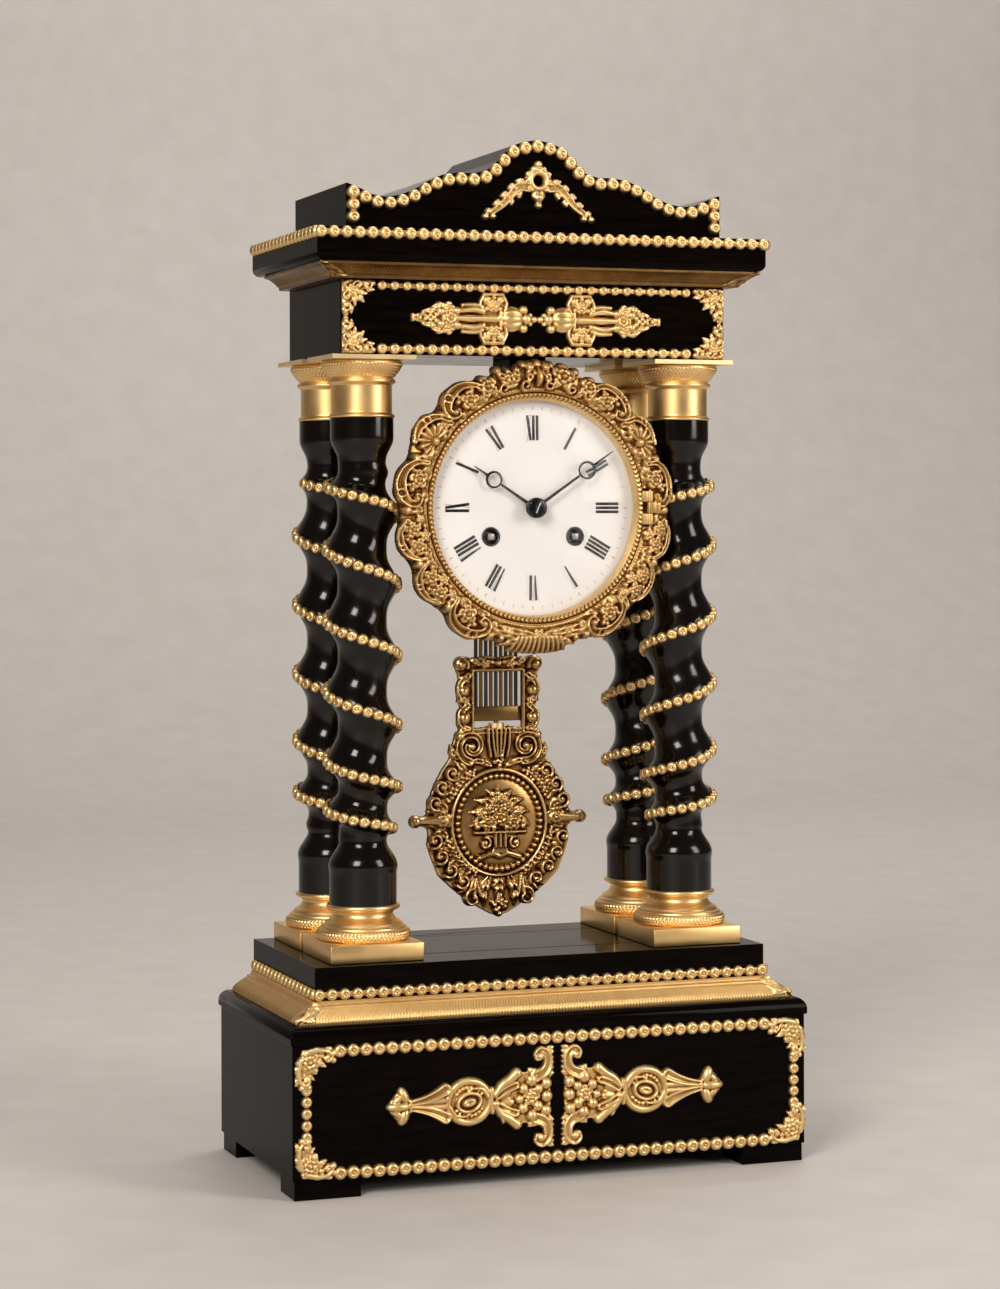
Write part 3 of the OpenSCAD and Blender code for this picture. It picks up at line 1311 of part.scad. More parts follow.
// Rod, cross bars and the row of gridiron rods.
module gridiron() color(brass) placed() {
    top = pivot_z - 14.8;
    bar_z = frame_top_z + 21;
    block_z = frame_z + 11;
    front = pendulum_back - 1.6;
    back = pendulum_back + 1.6;
    step = (window_w - 4 * rod_r) / (rod_count - 1);
    translate([0, pendulum_back, bar_z]) cylinder(r = pendulum_rod_r, h = top - bar_z);
    box_to([-window_w / 2, front, bar_z], [window_w / 2, back, bar_z + 4]);
    box_to([-window_w / 2 - 2, front, block_z], [window_w / 2 + 2, back, block_z + 7]);
    for (i = [0:rod_count - 1])
        translate([(i - (rod_count - 1) / 2) * step, pendulum_back, block_z + eps])
            cylinder(r = rod_r, h = bar_z - block_z);
    translate([0, pendulum_back, frame_z + 2]) cylinder(r = 1.2, h = block_z - frame_z - 2 + eps);
}

// Frame with the window, leafy sides and shell shoulders.
module pendulum_frame() color(brass) placed() facing(pendulum_back - 1.6, frame_z) {
    h = frame_h;
    difference() {
        linear_extrude(frame_t) {
            translate([-window_w / 2 - 4, 0]) square([window_w + 8, h - 2]);
            for (s = [-1, 1]) {
                polygon(leaf([s * 14, h - 2], [s * frame_w / 2, h - 16], 8));
                polygon(ribbon(spiral([s * 17, h - 5], 5, 2, s == 1 ? 200 : -20, s == 1 ? -80 : 260),
                    2.8, 1.8));
                polygon(leaf([s * 13, 16], [s * (frame_w / 2 - 1), 3], 9));
                polygon(leaf([s * 14, 24], [s * 19.4, 10], 6));
            }
        }
        translate([-window_w / 2, 6.5, -eps]) cube([window_w, h - 15, frame_t + 2 * eps]);
    }
    for (s = [-1, 1]) {
        translate([s * 18, h - 5, frame_t - eps]) dome(2.4);
        translate([s * 17, 8, frame_t - eps]) dome(3);
        translate([s * 15.2, 20, frame_t - eps]) dome(1.6);
    }
}

// Cast bob: wreath, beaded ring, flower basket, side finials and pendant.
module pendulum_bob() color(brass) placed() facing(pendulum_back - 1.6, bob_z) {
    linear_extrude(frame_t) {
        circle(bob_r - 3);
        for (i = [0:11]) rotate([0, 0, 30 * i + 15]) translate([bob_r - 5, 0]) circle(5.4);
        translate([-15, 0]) square([30, bob_neck]);
        translate([-bob_reach, -1.6]) square([2 * bob_reach, 3.2]);
        polygon(leaf([0, -bob_r + 4], [0, -bob_foot], 9));
    }
    translate([0, 0, frame_t]) rotate_extrude() translate([bob_ring_r, 0]) circle(1.7);
    for (i = [0:11]) rotate([0, 0, 30 * i + 15]) translate([bob_r - 6, 0, frame_t - eps]) dome(3.6);
    for (s = [-1, 1]) {
        translate([s * (bob_reach - 3.4), 0, frame_t - eps]) dome(3);
        translate([s * 9, bob_neck - 8, frame_t - eps]) dome(4);
    }
    translate([0, -bob_foot + 7.4, frame_t - eps]) dome(3.4);
    translate([0, bob_neck - 6, frame_t - eps]) dome(3.4);
    translate([0, 0, frame_t - eps]) {
        dome(4.4);
        for (i = [0:6]) rotate([0, 0, 360 / 7 * i]) translate([7, 0, 0]) dome(3.2);
    }
    translate([-7, -16, 0]) cube([14, 7, frame_t + 2]);
}

module rating_nut() color(brass) placed() translate([0, pendulum_back, frame_z + 7.2]) difference() {
    cylinder(r = rating_nut_r, h = 2.8);
    translate([0, 0, -eps]) cylinder(r = 1.2 + run_fit, h = 3);
}

base_box();
base_feet();
ledge();
base_beads();
base_corners();
base_mounts();
plinth_block();
plinth_moulding();
plinth_beads();
column_bases();
shaft_front_left();
shaft_front_right();
shaft_rear_left();
shaft_rear_right();
crest_beads();
capitals();
abacus_plates();
tie_rods();
frieze_box();
frieze_beads();
frieze_corners();
frieze_mounts();
cornice_moulding();
cornice_board();
cornice_beads();
pediment();
pediment_beads();
pediment_mount();
saddle();
drum();
surround();
dial();
front_plate();
back_plate();
pillars();
back_cock();
bell();
bell_stand();
hammer();
door_ring();
door_glass();
minute_hand();
hour_hand();
cannon_pinion();
minute_wheel();
hour_wheel();
centre_wheel();
second_wheel();
third_wheel();
escape_wheel();
pallets();
going_barrel();
strike_barrel();
going_winding_arbor();
strike_winding_arbor();
suspension_spring();
gridiron();
pendulum_frame();
pendulum_bob();
rating_nut();
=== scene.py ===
"""Looks of the portico clock: cast ornament, turned brass, lacquer, enamel, floor, light and camera."""

import json
import math

import bpy
import numpy as np
from mathutils import Matrix, Vector


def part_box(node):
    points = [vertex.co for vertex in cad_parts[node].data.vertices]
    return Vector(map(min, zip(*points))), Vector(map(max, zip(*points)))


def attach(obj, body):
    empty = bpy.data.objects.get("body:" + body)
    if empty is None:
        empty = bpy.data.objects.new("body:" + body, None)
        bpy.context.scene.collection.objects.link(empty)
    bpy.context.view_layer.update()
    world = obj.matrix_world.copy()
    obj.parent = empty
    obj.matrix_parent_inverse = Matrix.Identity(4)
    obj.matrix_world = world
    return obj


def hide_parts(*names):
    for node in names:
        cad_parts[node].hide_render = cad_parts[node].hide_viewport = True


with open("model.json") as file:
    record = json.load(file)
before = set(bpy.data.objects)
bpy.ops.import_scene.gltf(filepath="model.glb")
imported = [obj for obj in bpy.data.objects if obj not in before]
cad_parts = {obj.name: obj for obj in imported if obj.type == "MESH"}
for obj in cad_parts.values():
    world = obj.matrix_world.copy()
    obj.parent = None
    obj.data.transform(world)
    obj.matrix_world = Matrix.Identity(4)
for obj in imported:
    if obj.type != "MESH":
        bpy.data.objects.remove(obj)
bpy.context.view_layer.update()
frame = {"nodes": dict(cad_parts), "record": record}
NODES = frame["nodes"]

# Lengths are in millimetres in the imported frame: X right, Y back, Z up.
MM = 0.001
SHIFT = 2.0
BASE_FRONT = -62 + SHIFT
BASE_LOW = 8.3
BASE_HIGH = 69.0
BASE_MID = 38.65
PLINTH_HALF = 110.4
PLINTH_FRONT = -48.2 + SHIFT
PLINTH_BACK = 56 + SHIFT
TRIM_LOW = 76.7
COLUMN_X = 79.0
COLUMN_FRONT = -19.8 + SHIFT
COLUMN_REAR = 30 + SHIFT
COLUMN_LOW = 100.8
SHAFT_LOW = 125.4
SHAFT_LENGTH = 223.1
FRIEZE_HALF = 94.75
FRIEZE_FRONT = -38.2 + SHIFT
FRIEZE_BACK = 44.8 + SHIFT
FRIEZE_LOW = 376.8
CORNICE_TRIM_LOW = 411.0
CORNICE_FRONT = FRIEZE_FRONT - 15.3
CORNICE_HALF = FRIEZE_HALF + 15.3
CORNICE_BACK = FRIEZE_BACK + 11
CORNICE_BEADS = 430.6
PLINTH_BEADS = 88.7
PEDIMENT_HALF = 92.4
PEDIMENT_FRONT = -40 + SHIFT
PEDIMENT_LOW = 433.2
DIAL_Z = 307.0
DIAL_FRONT = -32.6 + SHIFT
PENDULUM_FRONT = 16.4 + SHIFT
BOB_Z = 157.0
FRAME_Z = 194.0
BEAD_R = 3.1
BEAD_PITCH = 6.05
BEAD_INSET = 3.2
BEAD_SEAT = 1.6
STRIP_EDGE = 0.2


def grid_faces(rows, cols, wrap=False):
    """Quads of a grid of points; wrapped, the last column joins the first."""
    r = np.arange(rows - 1)[:, None]
    c = np.arange(cols if wrap else cols - 1)[None, :]
    n = (c + 1) % cols
    quads = [r * cols + c, r * cols + n, (r + 1) * cols + n, (r + 1) * cols + c]
    return np.stack(quads, axis=-1).reshape(-1, 4)


def linked(name, data):
    """A new object in the scene."""
    made = bpy.data.objects.new(name, data)
    bpy.context.scene.collection.objects.link(made)
    return made


def rounded(d):
    """Height of a round form at a distance from its middle, both as shares."""
    return np.sqrt(np.clip(1 - d * d, 0, 1))


def between(z, low, high, ease):
    """One between two levels, easing off to nothing at both."""
    return np.clip((z - low) / ease, 0, 1) * np.clip((high - z) / ease, 0, 1)


class Shape:
    """Points and quads of one piece, gathered from several forms, with a painted shading value for each
    point: high paints shade, low paints highlight.
    """

    def __init__(self, form=None, recess=None):
        self.points, self.faces, self.recess, self.count = [], [], [], 0
        if form is not None:
            self.add(form, recess)

    def add(self, form, recess=None):
        points, faces = form
        points = np.asarray(points, float).reshape(-1, 3)
        self.points.append(points)
        self.faces.append(np.asarray(faces).reshape(-1, 4) + self.count)
        self.recess.append(np.full(len(points), 0.5) if recess is None else np.ravel(recess))
        self.count += len(points)

    def build(self, name, body, finish, slot, stands_for=(), sharp=None):
        mesh = bpy.data.meshes.new(name)
        points = np.concatenate(self.points) * MM
        faces = np.concatenate(self.faces)
        mesh.vertices.add(len(points))
        mesh.vertices.foreach_set("co", points.ravel())
        mesh.loops.add(faces.size)
        mesh.loops.foreach_set("vertex_index", faces.ravel().astype(np.int32))
        mesh.polygons.add(len(faces))
        mesh.polygons.foreach_set("loop_start", np.arange(0, faces.size, 4, dtype=np.int32))
        mesh.update(calc_edges=True)
        mesh.shade_smooth()
        if sharp:
            mesh.set_sharp_from_angle(angle=math.radians(sharp))
        # The painted shading goes on the mesh as a point attribute, which the gilt finishes turn into
        # painted shade and painted highlight.
        recess = mesh.attributes.new("recess", "FLOAT", "POINT")
        recess.data.foreach_set("value", np.concatenate(self.recess).astype(np.float32))
        mesh.materials.append(finish)
        piece = linked(name, mesh)
        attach(piece, body)
        if stands_for:
            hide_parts(*stands_for)
        return piece


FACINGS = {
    "up": np.eye(3),
    "front": np.array([[1, 0, 0], [0, 0, -1], [0, 1, 0]], float),
    "left": np.array([[0, 0, -1], [-1, 0, 0], [0, 1, 0]], float),
    "right": np.array([[0, 0, 1], [1, 0, 0], [0, 1, 0]], float),
}


def placed(form, at, facing="up"):
    """A form built along +Z, turned to a facing and moved."""
    points, faces = form
    return points @ FACINGS[facing].T + np.asarray(at, float), faces


def mirrored(form):
    """The same form on the other side of X = 0."""
    points, faces = form
    return points * np.array([-1.0, 1.0, 1.0]), faces[:, ::-1]


def scattered(form, places, turns=None):
    """Copies of a form at many places, each with its own turn."""
    points, faces = form
    places = np.asarray(places, float)
    turns = np.repeat(np.eye(3)[None], len(places), axis=0) if turns is None else turns
    copies = np.einsum("kij,nj->kni", turns, points) + places[:, None, :]
    steps = np.arange(len(places))[:, None, None] * len(points)
    return copies.reshape(-1, 3), (faces[None] + steps).reshape(-1, 4)


def eased(profile, radius, steps=3):
    """A profile with its corners rounded off."""
    profile = np.asarray(profile, float)
    out = [profile[0]]
    for before, here, after in zip(profile[:-2], profile[1:-1], profile[2:]):
        a, b = before - here, after - here
        cut = min(radius, 0.45 * np.linalg.norm(a), 0.45 * np.linalg.norm(b))
        a = here + a * cut / max(np.linalg.norm(a), 1e-9)
        b = here + b * cut / max(np.linalg.norm(b), 1e-9)
        for t in np.linspace(0, 1, steps + 1):
            out.append((1 - t) ** 2 * a + 2 * t * (1 - t) * here + t * t * b)
    out.append(profile[-1])
    return np.array(out)


def lathe(profile, sides, ripple=None):
    """A turned form about Z from (radius, height) points; ripple adds to the radius at (turn, height)."""
    profile = np.asarray(profile, float)
    turn = np.linspace(0, 2 * np.pi, sides, endpoint=False)[None, :]
    r = np.repeat(profile[:, :1], sides, axis=1)
    z = np.repeat(profile[:, 1:2], sides, axis=1)
    if ripple is not None:
        r = r + ripple(turn, z)
    points = np.stack([r * np.cos(turn), r * np.sin(turn), z], axis=-1)
    return points.reshape(-1, 3), grid_faces(len(profile), sides, wrap=True)


def block(low, high, edge=0.5):
    """A closed box with eased edges."""
    low, high = np.asarray(low, float), np.asarray(high, float)
    side = high - low
    outline = []
    for x, y, start in ((0, 0, 180), (1, 0, 270), (1, 1, 0), (0, 1, 90)):
        centre = low[:2] + edge + np.array([x, y]) * (side[:2] - 2 * edge)
        for a in np.radians(start + np.linspace(0, 90, 4)):
            outline.append((centre, np.array([math.cos(a), math.sin(a)])))
    rings = [(-edge, low[2]), (-0.3 * edge, low[2] + 0.3 * edge), (0, low[2] + edge)]
    rings += [(0, high[2] - edge), (-0.3 * edge, high[2] - 0.3 * edge), (-edge, high[2])]
    points = [[*(c + d * (edge + grow)), z] for grow, z in rings for c, d in outline]
    middle = (low + high)[:2] / 2
    first = [[*middle, low[2]]] * len(outline)
    last = [[*middle, high[2]]] * len(outline)
    points = np.array(first + points + last)
    return points, grid_faces(len(rings) + 2, len(outline), wrap=True)


BEAD_PROFILE = np.array(
    [(1, -0.15), (1, 0.1), (0.97, 0.32), (0.9, 0.52), (0.79, 0.69), (0.66, 0.79), (0.52, 0.84)]
    + [(0.4, 0.82), (0.32, 0.76), (0.25, 0.73), (0.18, 0.75), (0.1, 0.79), (0.004, 0.8)]
)
# Painted shading of each point of a bead's profile, from the foot in: high values paint shade, low values
# paint highlight.
BEAD_PAINTED_SHADING = [0.85, 0.62, 0.44, 0.34, 0.28, 0.25, 0.24, 0.38, 0.66, 0.74, 0.6, 0.38, 0.32]
BEAD_SIDES = 16


def bead(radius):
    """A stamped bead: a dome with a sunk ring round a small button."""
    return lathe(BEAD_PROFILE * radius, BEAD_SIDES)


def bead_recess(count):
    """Painted shading of many beads: painted shade in the sunk ring and round the foot, painted highlight on
    the dome.
    """
    return np.tile(np.repeat(BEAD_PAINTED_SHADING, BEAD_SIDES), count)


def add_beads(shape, radius, places, facing="front"):
    """Beads on one face of a block."""
    shape.add(scattered(placed(bead(radius), (0, 0, 0), facing), places), bead_recess(len(places)))


def bead_line(start, end, pitch=BEAD_PITCH):
    """Places of evenly spaced beads between two points."""
    start, end = np.asarray(start, float), np.asarray(end, float)
    count = max(1, round(np.linalg.norm(end - start) / pitch))
    return start + (end - start) * np.linspace(0, 1, count + 1)[:, None]


def spiral(centre, r0, r1, a0, a1, count=28):
    """Points of a scroll that winds from radius r0 to r1, in degrees."""
    t = np.linspace(0, 1, count)
    r, a = r0 + (r1 - r0) * t, np.radians(a0 + (a1 - a0) * t)
    return np.stack([centre[0] + r * np.cos(a), centre[1] + r * np.sin(a)], axis=-1)


def polar(radius, angle, centre=(0, 0)):
    """A point by its radius and its angle in degrees."""
    a = math.radians(angle)
    return centre[0] + radius * math.cos(a), centre[1] + radius * math.sin(a)


def bowed(points, count=30):
    """A smooth line through a few points."""
    points = np.asarray(points, float)
    padded = np.concatenate([[2 * points[0] - points[1]], points, [2 * points[-1] - points[-2]]])
    out = []
    for i in range(len(points) - 1):
        a, b, c, d = padded[i : i + 4]
        for t in np.linspace(0, 1, max(2, count // (len(points) - 1)), endpoint=False):
            out.append(
                0.5 * (2 * b + (c - a) * t + (2 * a - 5 * b + 4 * c - d) * t * t)
                + 0.5 * (3 * b - a - 3 * c + d) * t**3
            )
    return np.array(out + [points[-1]])


def run_along(line):
    """Length along a line, up to each of its points."""
    return np.concatenate([[0], np.cumsum(np.linalg.norm(np.diff(line, axis=0), axis=1))])


def dense(line, step):
    """A line with points no further apart than about a step."""
    line = np.asarray(line, float)
    run = run_along(line)
    at = np.linspace(0, run[-1], max(2, int(run[-1] / step)))
    return np.stack([np.interp(at, run, line[:, 0]), np.interp(at, run, line[:, 1])], axis=-1)


def oval(centre, wide, high, tilt=0.0, count=80):
    """Points of a closed oval, turned by a tilt in degrees."""
    t, a = np.linspace(0, 2 * np.pi, count), math.radians(tilt)
    x, z = wide * np.cos(t), high * np.sin(t)
    across, up = x * math.cos(a) - z * math.sin(a), x * math.sin(a) + z * math.cos(a)
    return np.stack([centre[0] + across, centre[1] + up], axis=-1)


def both_sides(outline, mirror=(-1, 1)):
    """Half an outline, closed with its mirror image."""
    return np.concatenate([outline, np.array(outline[::-1]) * mirror])


def softened(h, cells):
    """Heights averaged over a few cells each way."""
    for axis in (0, 1):
        size, wide = h.shape[axis], 2 * cells + 1
        margin = [(cells, cells) if a == axis else (0, 0) for a in (0, 1)]
        total = np.insert(np.cumsum(np.pad(h, margin, "edge"), axis), 0, 0, axis)
        h = (total.take(range(wide, wide + size), axis) - total.take(range(size), axis)) / wide
    return h


EMPTY = -9.0


class Relief:
    """Cast ornament as heights over a grid: forms are laid over each other and the highest shows."""

    def __init__(self, low, high, step=0.3, floor=0.8):
        self.low, self.step, self.floor = np.asarray(low, float), step, floor
        self.cols = int((high[0] - low[0]) / step) + 2
        self.rows = int((high[1] - low[1]) / step) + 2
        self.h = np.full((self.rows, self.cols), EMPTY)

    def grid(self):
        """Places of all points of the grid."""
        x = self.low[0] + self.step * np.arange(self.cols)
        z = self.low[1] + self.step * np.arange(self.rows)
        return np.meshgrid(x, z)

    def patch(self, centre, reach):
        """The grid within reach of a point: its window and the distances from the point."""
        spans, away = [], []
        for low, middle, size in zip(self.low, centre, (self.cols, self.rows)):
            first = max(0, int((middle - reach - low) / self.step))
            last = max(first, min(size, int((middle + reach - low) / self.step) + 2))
            spans.append(slice(first, last))
            away.append(low + self.step * np.arange(first, last) - middle)
        return tuple(spans[::-1]), *np.meshgrid(*away)

    def lay(self, window, height, inside, base=None):
        """Lays a form over those before it, with its height above the floor or another base."""
        part = self.h[window]
        base = self.floor if base is None else base
        np.maximum(part, np.where(inside, base + height, EMPTY), out=part)

    def sink(self, centre, r):
        """A hole right through."""
        window, x, z = self.patch(centre, r)
        part = self.h[window]
        part[np.hypot(x, z) < r] = EMPTY

    def dome(self, centre, r, h, wide=1.0, angle=0.0, base=None):
        window, x, z = self.patch(centre, r * max(1.0, wide))
        a = math.radians(angle)
        u, v = x * math.cos(a) + z * math.sin(a), z * math.cos(a) - x * math.sin(a)
        d = np.hypot(u / (r * wide), v / r)
        self.lay(window, h * rounded(d), d < 1, base)

    def melon(self, centre, r, h, wide, ribs):
        """A bulb with ribs that run along it."""
        window, x, z = self.patch(centre, r * max(1.0, wide))
        d = np.hypot(x / (r * wide), z / r)
        side = np.clip(z / (r * np.sqrt(np.clip(1 - (x / (r * wide)) ** 2, 0.02, 1))), -1, 1)
        rib = 0.82 + 0.18 * np.abs(np.cos(ribs * np.arcsin(side)))
        self.lay(window, h * rounded(d) * rib, d < 1)

    def stroke(self, line, w0, w1, h, kind="round", base=None):
        """A moulded band along a line, round or with a hollow between two rims."""
        line = dense(line, 0.3)
        middle = (line.min(0) + line.max(0)) / 2
        reach = np.abs(line - middle).max() + max(w0, w1)
        window, x, z = self.patch(middle, reach)
        d = np.full(x.shape, 9.0)
        for t, p in zip(np.linspace(0, 1, len(line)), line - middle):
            d = np.minimum(d, np.hypot(x - p[0], z - p[1]) / (0.5 * (w0 + (w1 - w0) * t)))
        body = rounded(d)
        if kind == "hollow":
            rim = 1.15 * rounded(d * d)
            body = np.where(d < 0.72, 0.45 + 0.55 * (d / 0.72) ** 2, rim)
        self.lay(window, h * body, d < 1, base)

    def leaf(self, start, tip, width, h, bow=0.0, lobes=0, base=None):
        """A veined leaf with notched edges, bowed to one side."""
        start, tip = np.asarray(start, float), np.asarray(tip, float)
        length = np.linalg.norm(tip - start)
        along = (tip - start) / length
        window, x, z = self.patch(start, length + width)
        u = (x * along[0] + z * along[1]) / length
        inner = np.clip(u, 0, 1)
        v = z * along[0] - x * along[1] - bow * length * np.sin(np.pi * inner)
        half = 0.5 * width * np.sin(np.pi * inner**0.72) ** 0.85
        if lobes:
            half = half * (0.74 + 0.26 * np.abs(np.cos(np.pi * lobes * inner)))
        t = np.abs(v) / np.maximum(half, 1e-6)
        body = np.clip(1 - t * t, 0, 1) ** 0.4
        vein = 0.3 * np.exp(-((v / (0.08 * width)) ** 2))
        side = 0.16 * np.cos(2 * np.pi * (lobes or 4) * (inner - 0.2 * t))
        lift = 0.7 + 0.3 * np.sin(np.pi * inner**1.4)
        height = h * lift * (body * (0.84 + side) - vein)
        self.lay(window, height, (u > 0) & (u < 1) & (t < 1), base)

    def rose(self, centre, r, h, petals=6, turn=0.0):
        """A double flower: two rings of cupped petals round a button."""
        window, x, z = self.patch(centre, r)
        d, a = np.hypot(x, z) / r, np.arctan2(z, x) - math.radians(turn)
        height = 0.95 * rounded(d / 0.24)
        for reach, shift, level in ((1.0, 0.0, 0.72), (0.62, 0.5, 1.0)):
            wave = np.abs(np.cos(0.5 * petals * a + np.pi * shift))
            s = d / (reach * (0.8 + 0.2 * wave))
            gap = 0.4 * np.exp(-((wave / 0.2) ** 2)) * np.clip(1.6 * s, 0, 1)
            cup = level * ((0.42 + 0.58 * s**2) * np.clip(1 - s**8, 0, 1) ** 0.5 - gap)
            height = np.maximum(height, np.where(s < 1, np.maximum(cup, 0.1), 0))
        self.lay(window, h * height, height > 0)

    def shell(self, hinge, r, h, angle, spread, ribs):
        """A ribbed fan that opens from its hinge."""
        window, x, z = self.patch(hinge, r)
        d = np.hypot(x, z) / r
        a = (np.degrees(np.arctan2(z, x)) - angle + 180) % 360 - 180
        wave = np.cos(np.pi * ribs * a / spread)
        edge = d / (0.93 + 0.07 * wave)
        body = (0.35 + 0.65 * edge) * (0.78 + 0.22 * wave) * np.clip(1 - edge**9, 0, 1) ** 0.5
        self.lay(window, h * body, (np.abs(a) < spread) & (edge < 1))

    def bunch(self, centre, spread, count, r, h, seed):
        """Fruit heaped round a point."""
        draw = np.random.default_rng(seed)
        for i in range(count):
            a, d = 2.4 * i + draw.uniform(-0.3, 0.3), spread * math.sqrt((i + 0.4) / count)
            lift = h * (1.25 - 0.55 * d / spread) * draw.uniform(0.85, 1.1)
            self.dome(polar(d, math.degrees(a), centre), r * draw.uniform(0.8, 1.15), lift)

    def sheet(self, outline, h):
        """A flat plate with the given outline."""
        outline = np.asarray(outline, float)
        middle = (outline.min(0) + outline.max(0)) / 2
        window, x, z = self.patch(middle, np.abs(outline - middle).max())
        inside = np.zeros(x.shape, bool)
        for (x0, z0), (x1, z1) in zip(outline - middle, np.roll(outline, -1, axis=0) - middle):
            if z0 != z1:
                inside ^= ((z0 > z) != (z1 > z)) & (x < x0 + (x1 - x0) * (z - z0) / (z1 - z0))
        self.lay(window, h, inside)

    def fill_gaps(self, reach, h):
        """Closes narrow gaps and rounds the outline, as cast metal does."""
        used = self.h > EMPTY / 2
        share = softened(used.astype(float), max(1, int(reach / self.step)))
        self.h = np.where(~used & (share > 0.5), self.floor + h, self.h)

    def mirror(self):
        """Lays the right half over the left as well."""
        self.h = np.maximum(self.h, self.h[:, ::-1])

    def flip(self):
        """Lays the upper half over the lower as well."""
        self.h = np.maximum(self.h, self.h[::-1, :])

    def form(self, at, sunk=0.3, lift=None, back=None):
        """The ornament facing front at a place, with its painted shading values (painted shade in hollows,
        painted highlight on crowns); back closes it behind.
        """
        used = self.h > EMPTY / 2
        share = np.maximum(softened(used.astype(float), 1), 0.1)
        self.h = np.where(used, softened(np.where(used, self.h, 0.0), 1) / share, EMPTY)
        near = np.zeros_like(used)
        near[:-1, :-1] = used[:-1, :-1] | used[1:, :-1] | used[:-1, 1:] | used[1:, 1:]
        height = np.where(used, self.h if lift is None else self.h + lift, -sunk)
        filled = np.where(used, self.h, 0.0)
        # Painted shading: points below their blurred surroundings get painted shade, points above them get
        # painted highlight.
        hollow = softened(filled, max(2, int(1.3 / self.step))) - filled
        recess = np.clip(0.5 + 0.8 * hollow, 0, 1)
        x, z = self.grid()
        points = np.stack([at[0] + x, at[1] - height, at[2] + z], axis=-1).reshape(-1, 3)
        faces = grid_faces(self.rows, self.cols)[near[:-1, :-1].ravel()]
        recess = recess.ravel()
        if back is not None:
            behind = points.copy()
            behind[:, 1] = at[1] + back
            faces = np.concatenate([faces, faces[:, ::-1] + len(points)])
            points = np.concatenate([points, behind])
            recess = np.concatenate([recess, np.full(len(recess), 0.5)])
        keep = np.unique(faces)
        index = np.full(len(points), -1)
        index[keep] = np.arange(len(keep))
        return (points[keep], index[faces]), recess[keep]


def many(form, *rows):
    """Lays one kind of form at many places: each row holds a place and the form's own values."""
    for x, z, *values in rows:
        form((x, z), *values)


NOISE_ROUGH = 0.55


class Finish:
    """A material with short calls for its noise, ramps and bumps."""

    def __init__(self, name):
        self.material = bpy.data.materials.new(name)
        self.material.use_nodes = True
        self.tree = self.material.node_tree
        self.shader = self.tree.nodes["Principled BSDF"]

    def feed(self, socket, value):
        """Gives a socket a value of its own or the output of another node."""
        if isinstance(value, bpy.types.NodeSocket):
            self.tree.links.new(value, socket)
        else:
            socket.default_value = value

    def put(self, **values):
        """Feeds the shader's own sockets."""
        for key, value in values.items():
            self.feed(self.shader.inputs[key.replace("_", " ")], value)

    def node(self, kind, output, inputs, **settings):
        """One output of a new node, with its inputs fed."""
        made = self.tree.nodes.new(kind)
        for key, value in settings.items():
            setattr(made, key, value)
        for key, value in inputs.items():
            self.feed(made.inputs[key], value)
        return made.outputs[output]

    def noise(self, scale, detail, stretch=(1, 1, 1)):
        place = self.node("ShaderNodeTexCoord", "Object", {})
        spread = self.node("ShaderNodeMapping", "Vector", {"Vector": place, "Scale": stretch})
        grain = {"Vector": spread, "Scale": scale, "Detail": detail, "Roughness": NOISE_ROUGH}
        return self.node("ShaderNodeTexNoise", "Fac", grain)

    def span(self, value, low, high, from_low=0.0, from_high=1.0):
        ends = {"From Min": from_low, "From Max": from_high, "To Min": low, "To Max": high}
        return self.node("ShaderNodeMapRange", "Result", {"Value": value, **ends})

    def sum(self, a, b):
        return self.node("ShaderNodeMath", "Value", {0: a, 1: b}, operation="ADD")

    def ramp(self, value, *stops):
        made = self.tree.nodes.new("ShaderNodeValToRGB")
        elements = made.color_ramp.elements
        while len(elements) < len(stops):
            elements.new(0.5)
        for element, (at, colour) in zip(elements, stops):
            element.position, element.color = at, (*colour, 1)
        self.feed(made.inputs["Fac"], value)
        return made.outputs["Color"]

    def bump(self, height, strength, depth):
        raised = {"Height": height, "Strength": strength, "Distance": depth * MM}
        self.put(Normal=self.node("ShaderNodeBump", "Normal", raised))


def lacquer(name, stretch, shine, rough):
    """Black French-polished wood: faint grain under a gloss, with fine scuffs."""
    f = Finish(name)
    grain = f.noise(420, 6, stretch)
    black = f.ramp(grain, (0.35, (0.0016, 0.0011, 0.0009)), (0.7, (0.0045, 0.0026, 0.0018)))
    scuffs = f.span(f.noise(60, 5), rough, rough + 0.13, 0.3, 0.8)
    f.put(Base_Color=black, Roughness=scuffs, Specular_IOR_Level=shine)
    f.bump(f.sum(grain, f.noise(26, 2)), 0.08, 0.1)
    return f.material


def gilding(name, low, middle, high, rough, lines=(1, 1, 1)):
    """Fire-gilt brass, lightly worn, with painted shade in the recesses and painted highlight on the crowns,
    both from the painted shading attribute.
    """
    f = Finish(name)
    recess = f.node("ShaderNodeAttribute", "Fac", {}, attribute_name="recess")
    tone = f.sum(f.span(recess, 1.0, 0.0), f.span(f.noise(150, 5), -0.16, 0.16))
    # The low stop is the colour of painted shade, the middle one is near the gilt's own colour, and the high
    # one is the colour of painted highlight.
    gold = f.ramp(tone, (0.1, low), (0.42, middle), (0.85, high))
    f.put(Base_Color=gold, Roughness=f.span(f.noise(90, 4), rough - 0.08, rough + 0.14), Metallic=1.0)
    f.bump(f.sum(f.noise(900, 3, lines), f.noise(160, 4)), 0.22, 0.1)
    return f.material


def shaded(f, scale, detail, colour, share):
    """A colour that darkens in patches to a share of itself."""
    return f.ramp(f.noise(scale, detail), (0.3, [share * c for c in colour]), (0.7, colour))


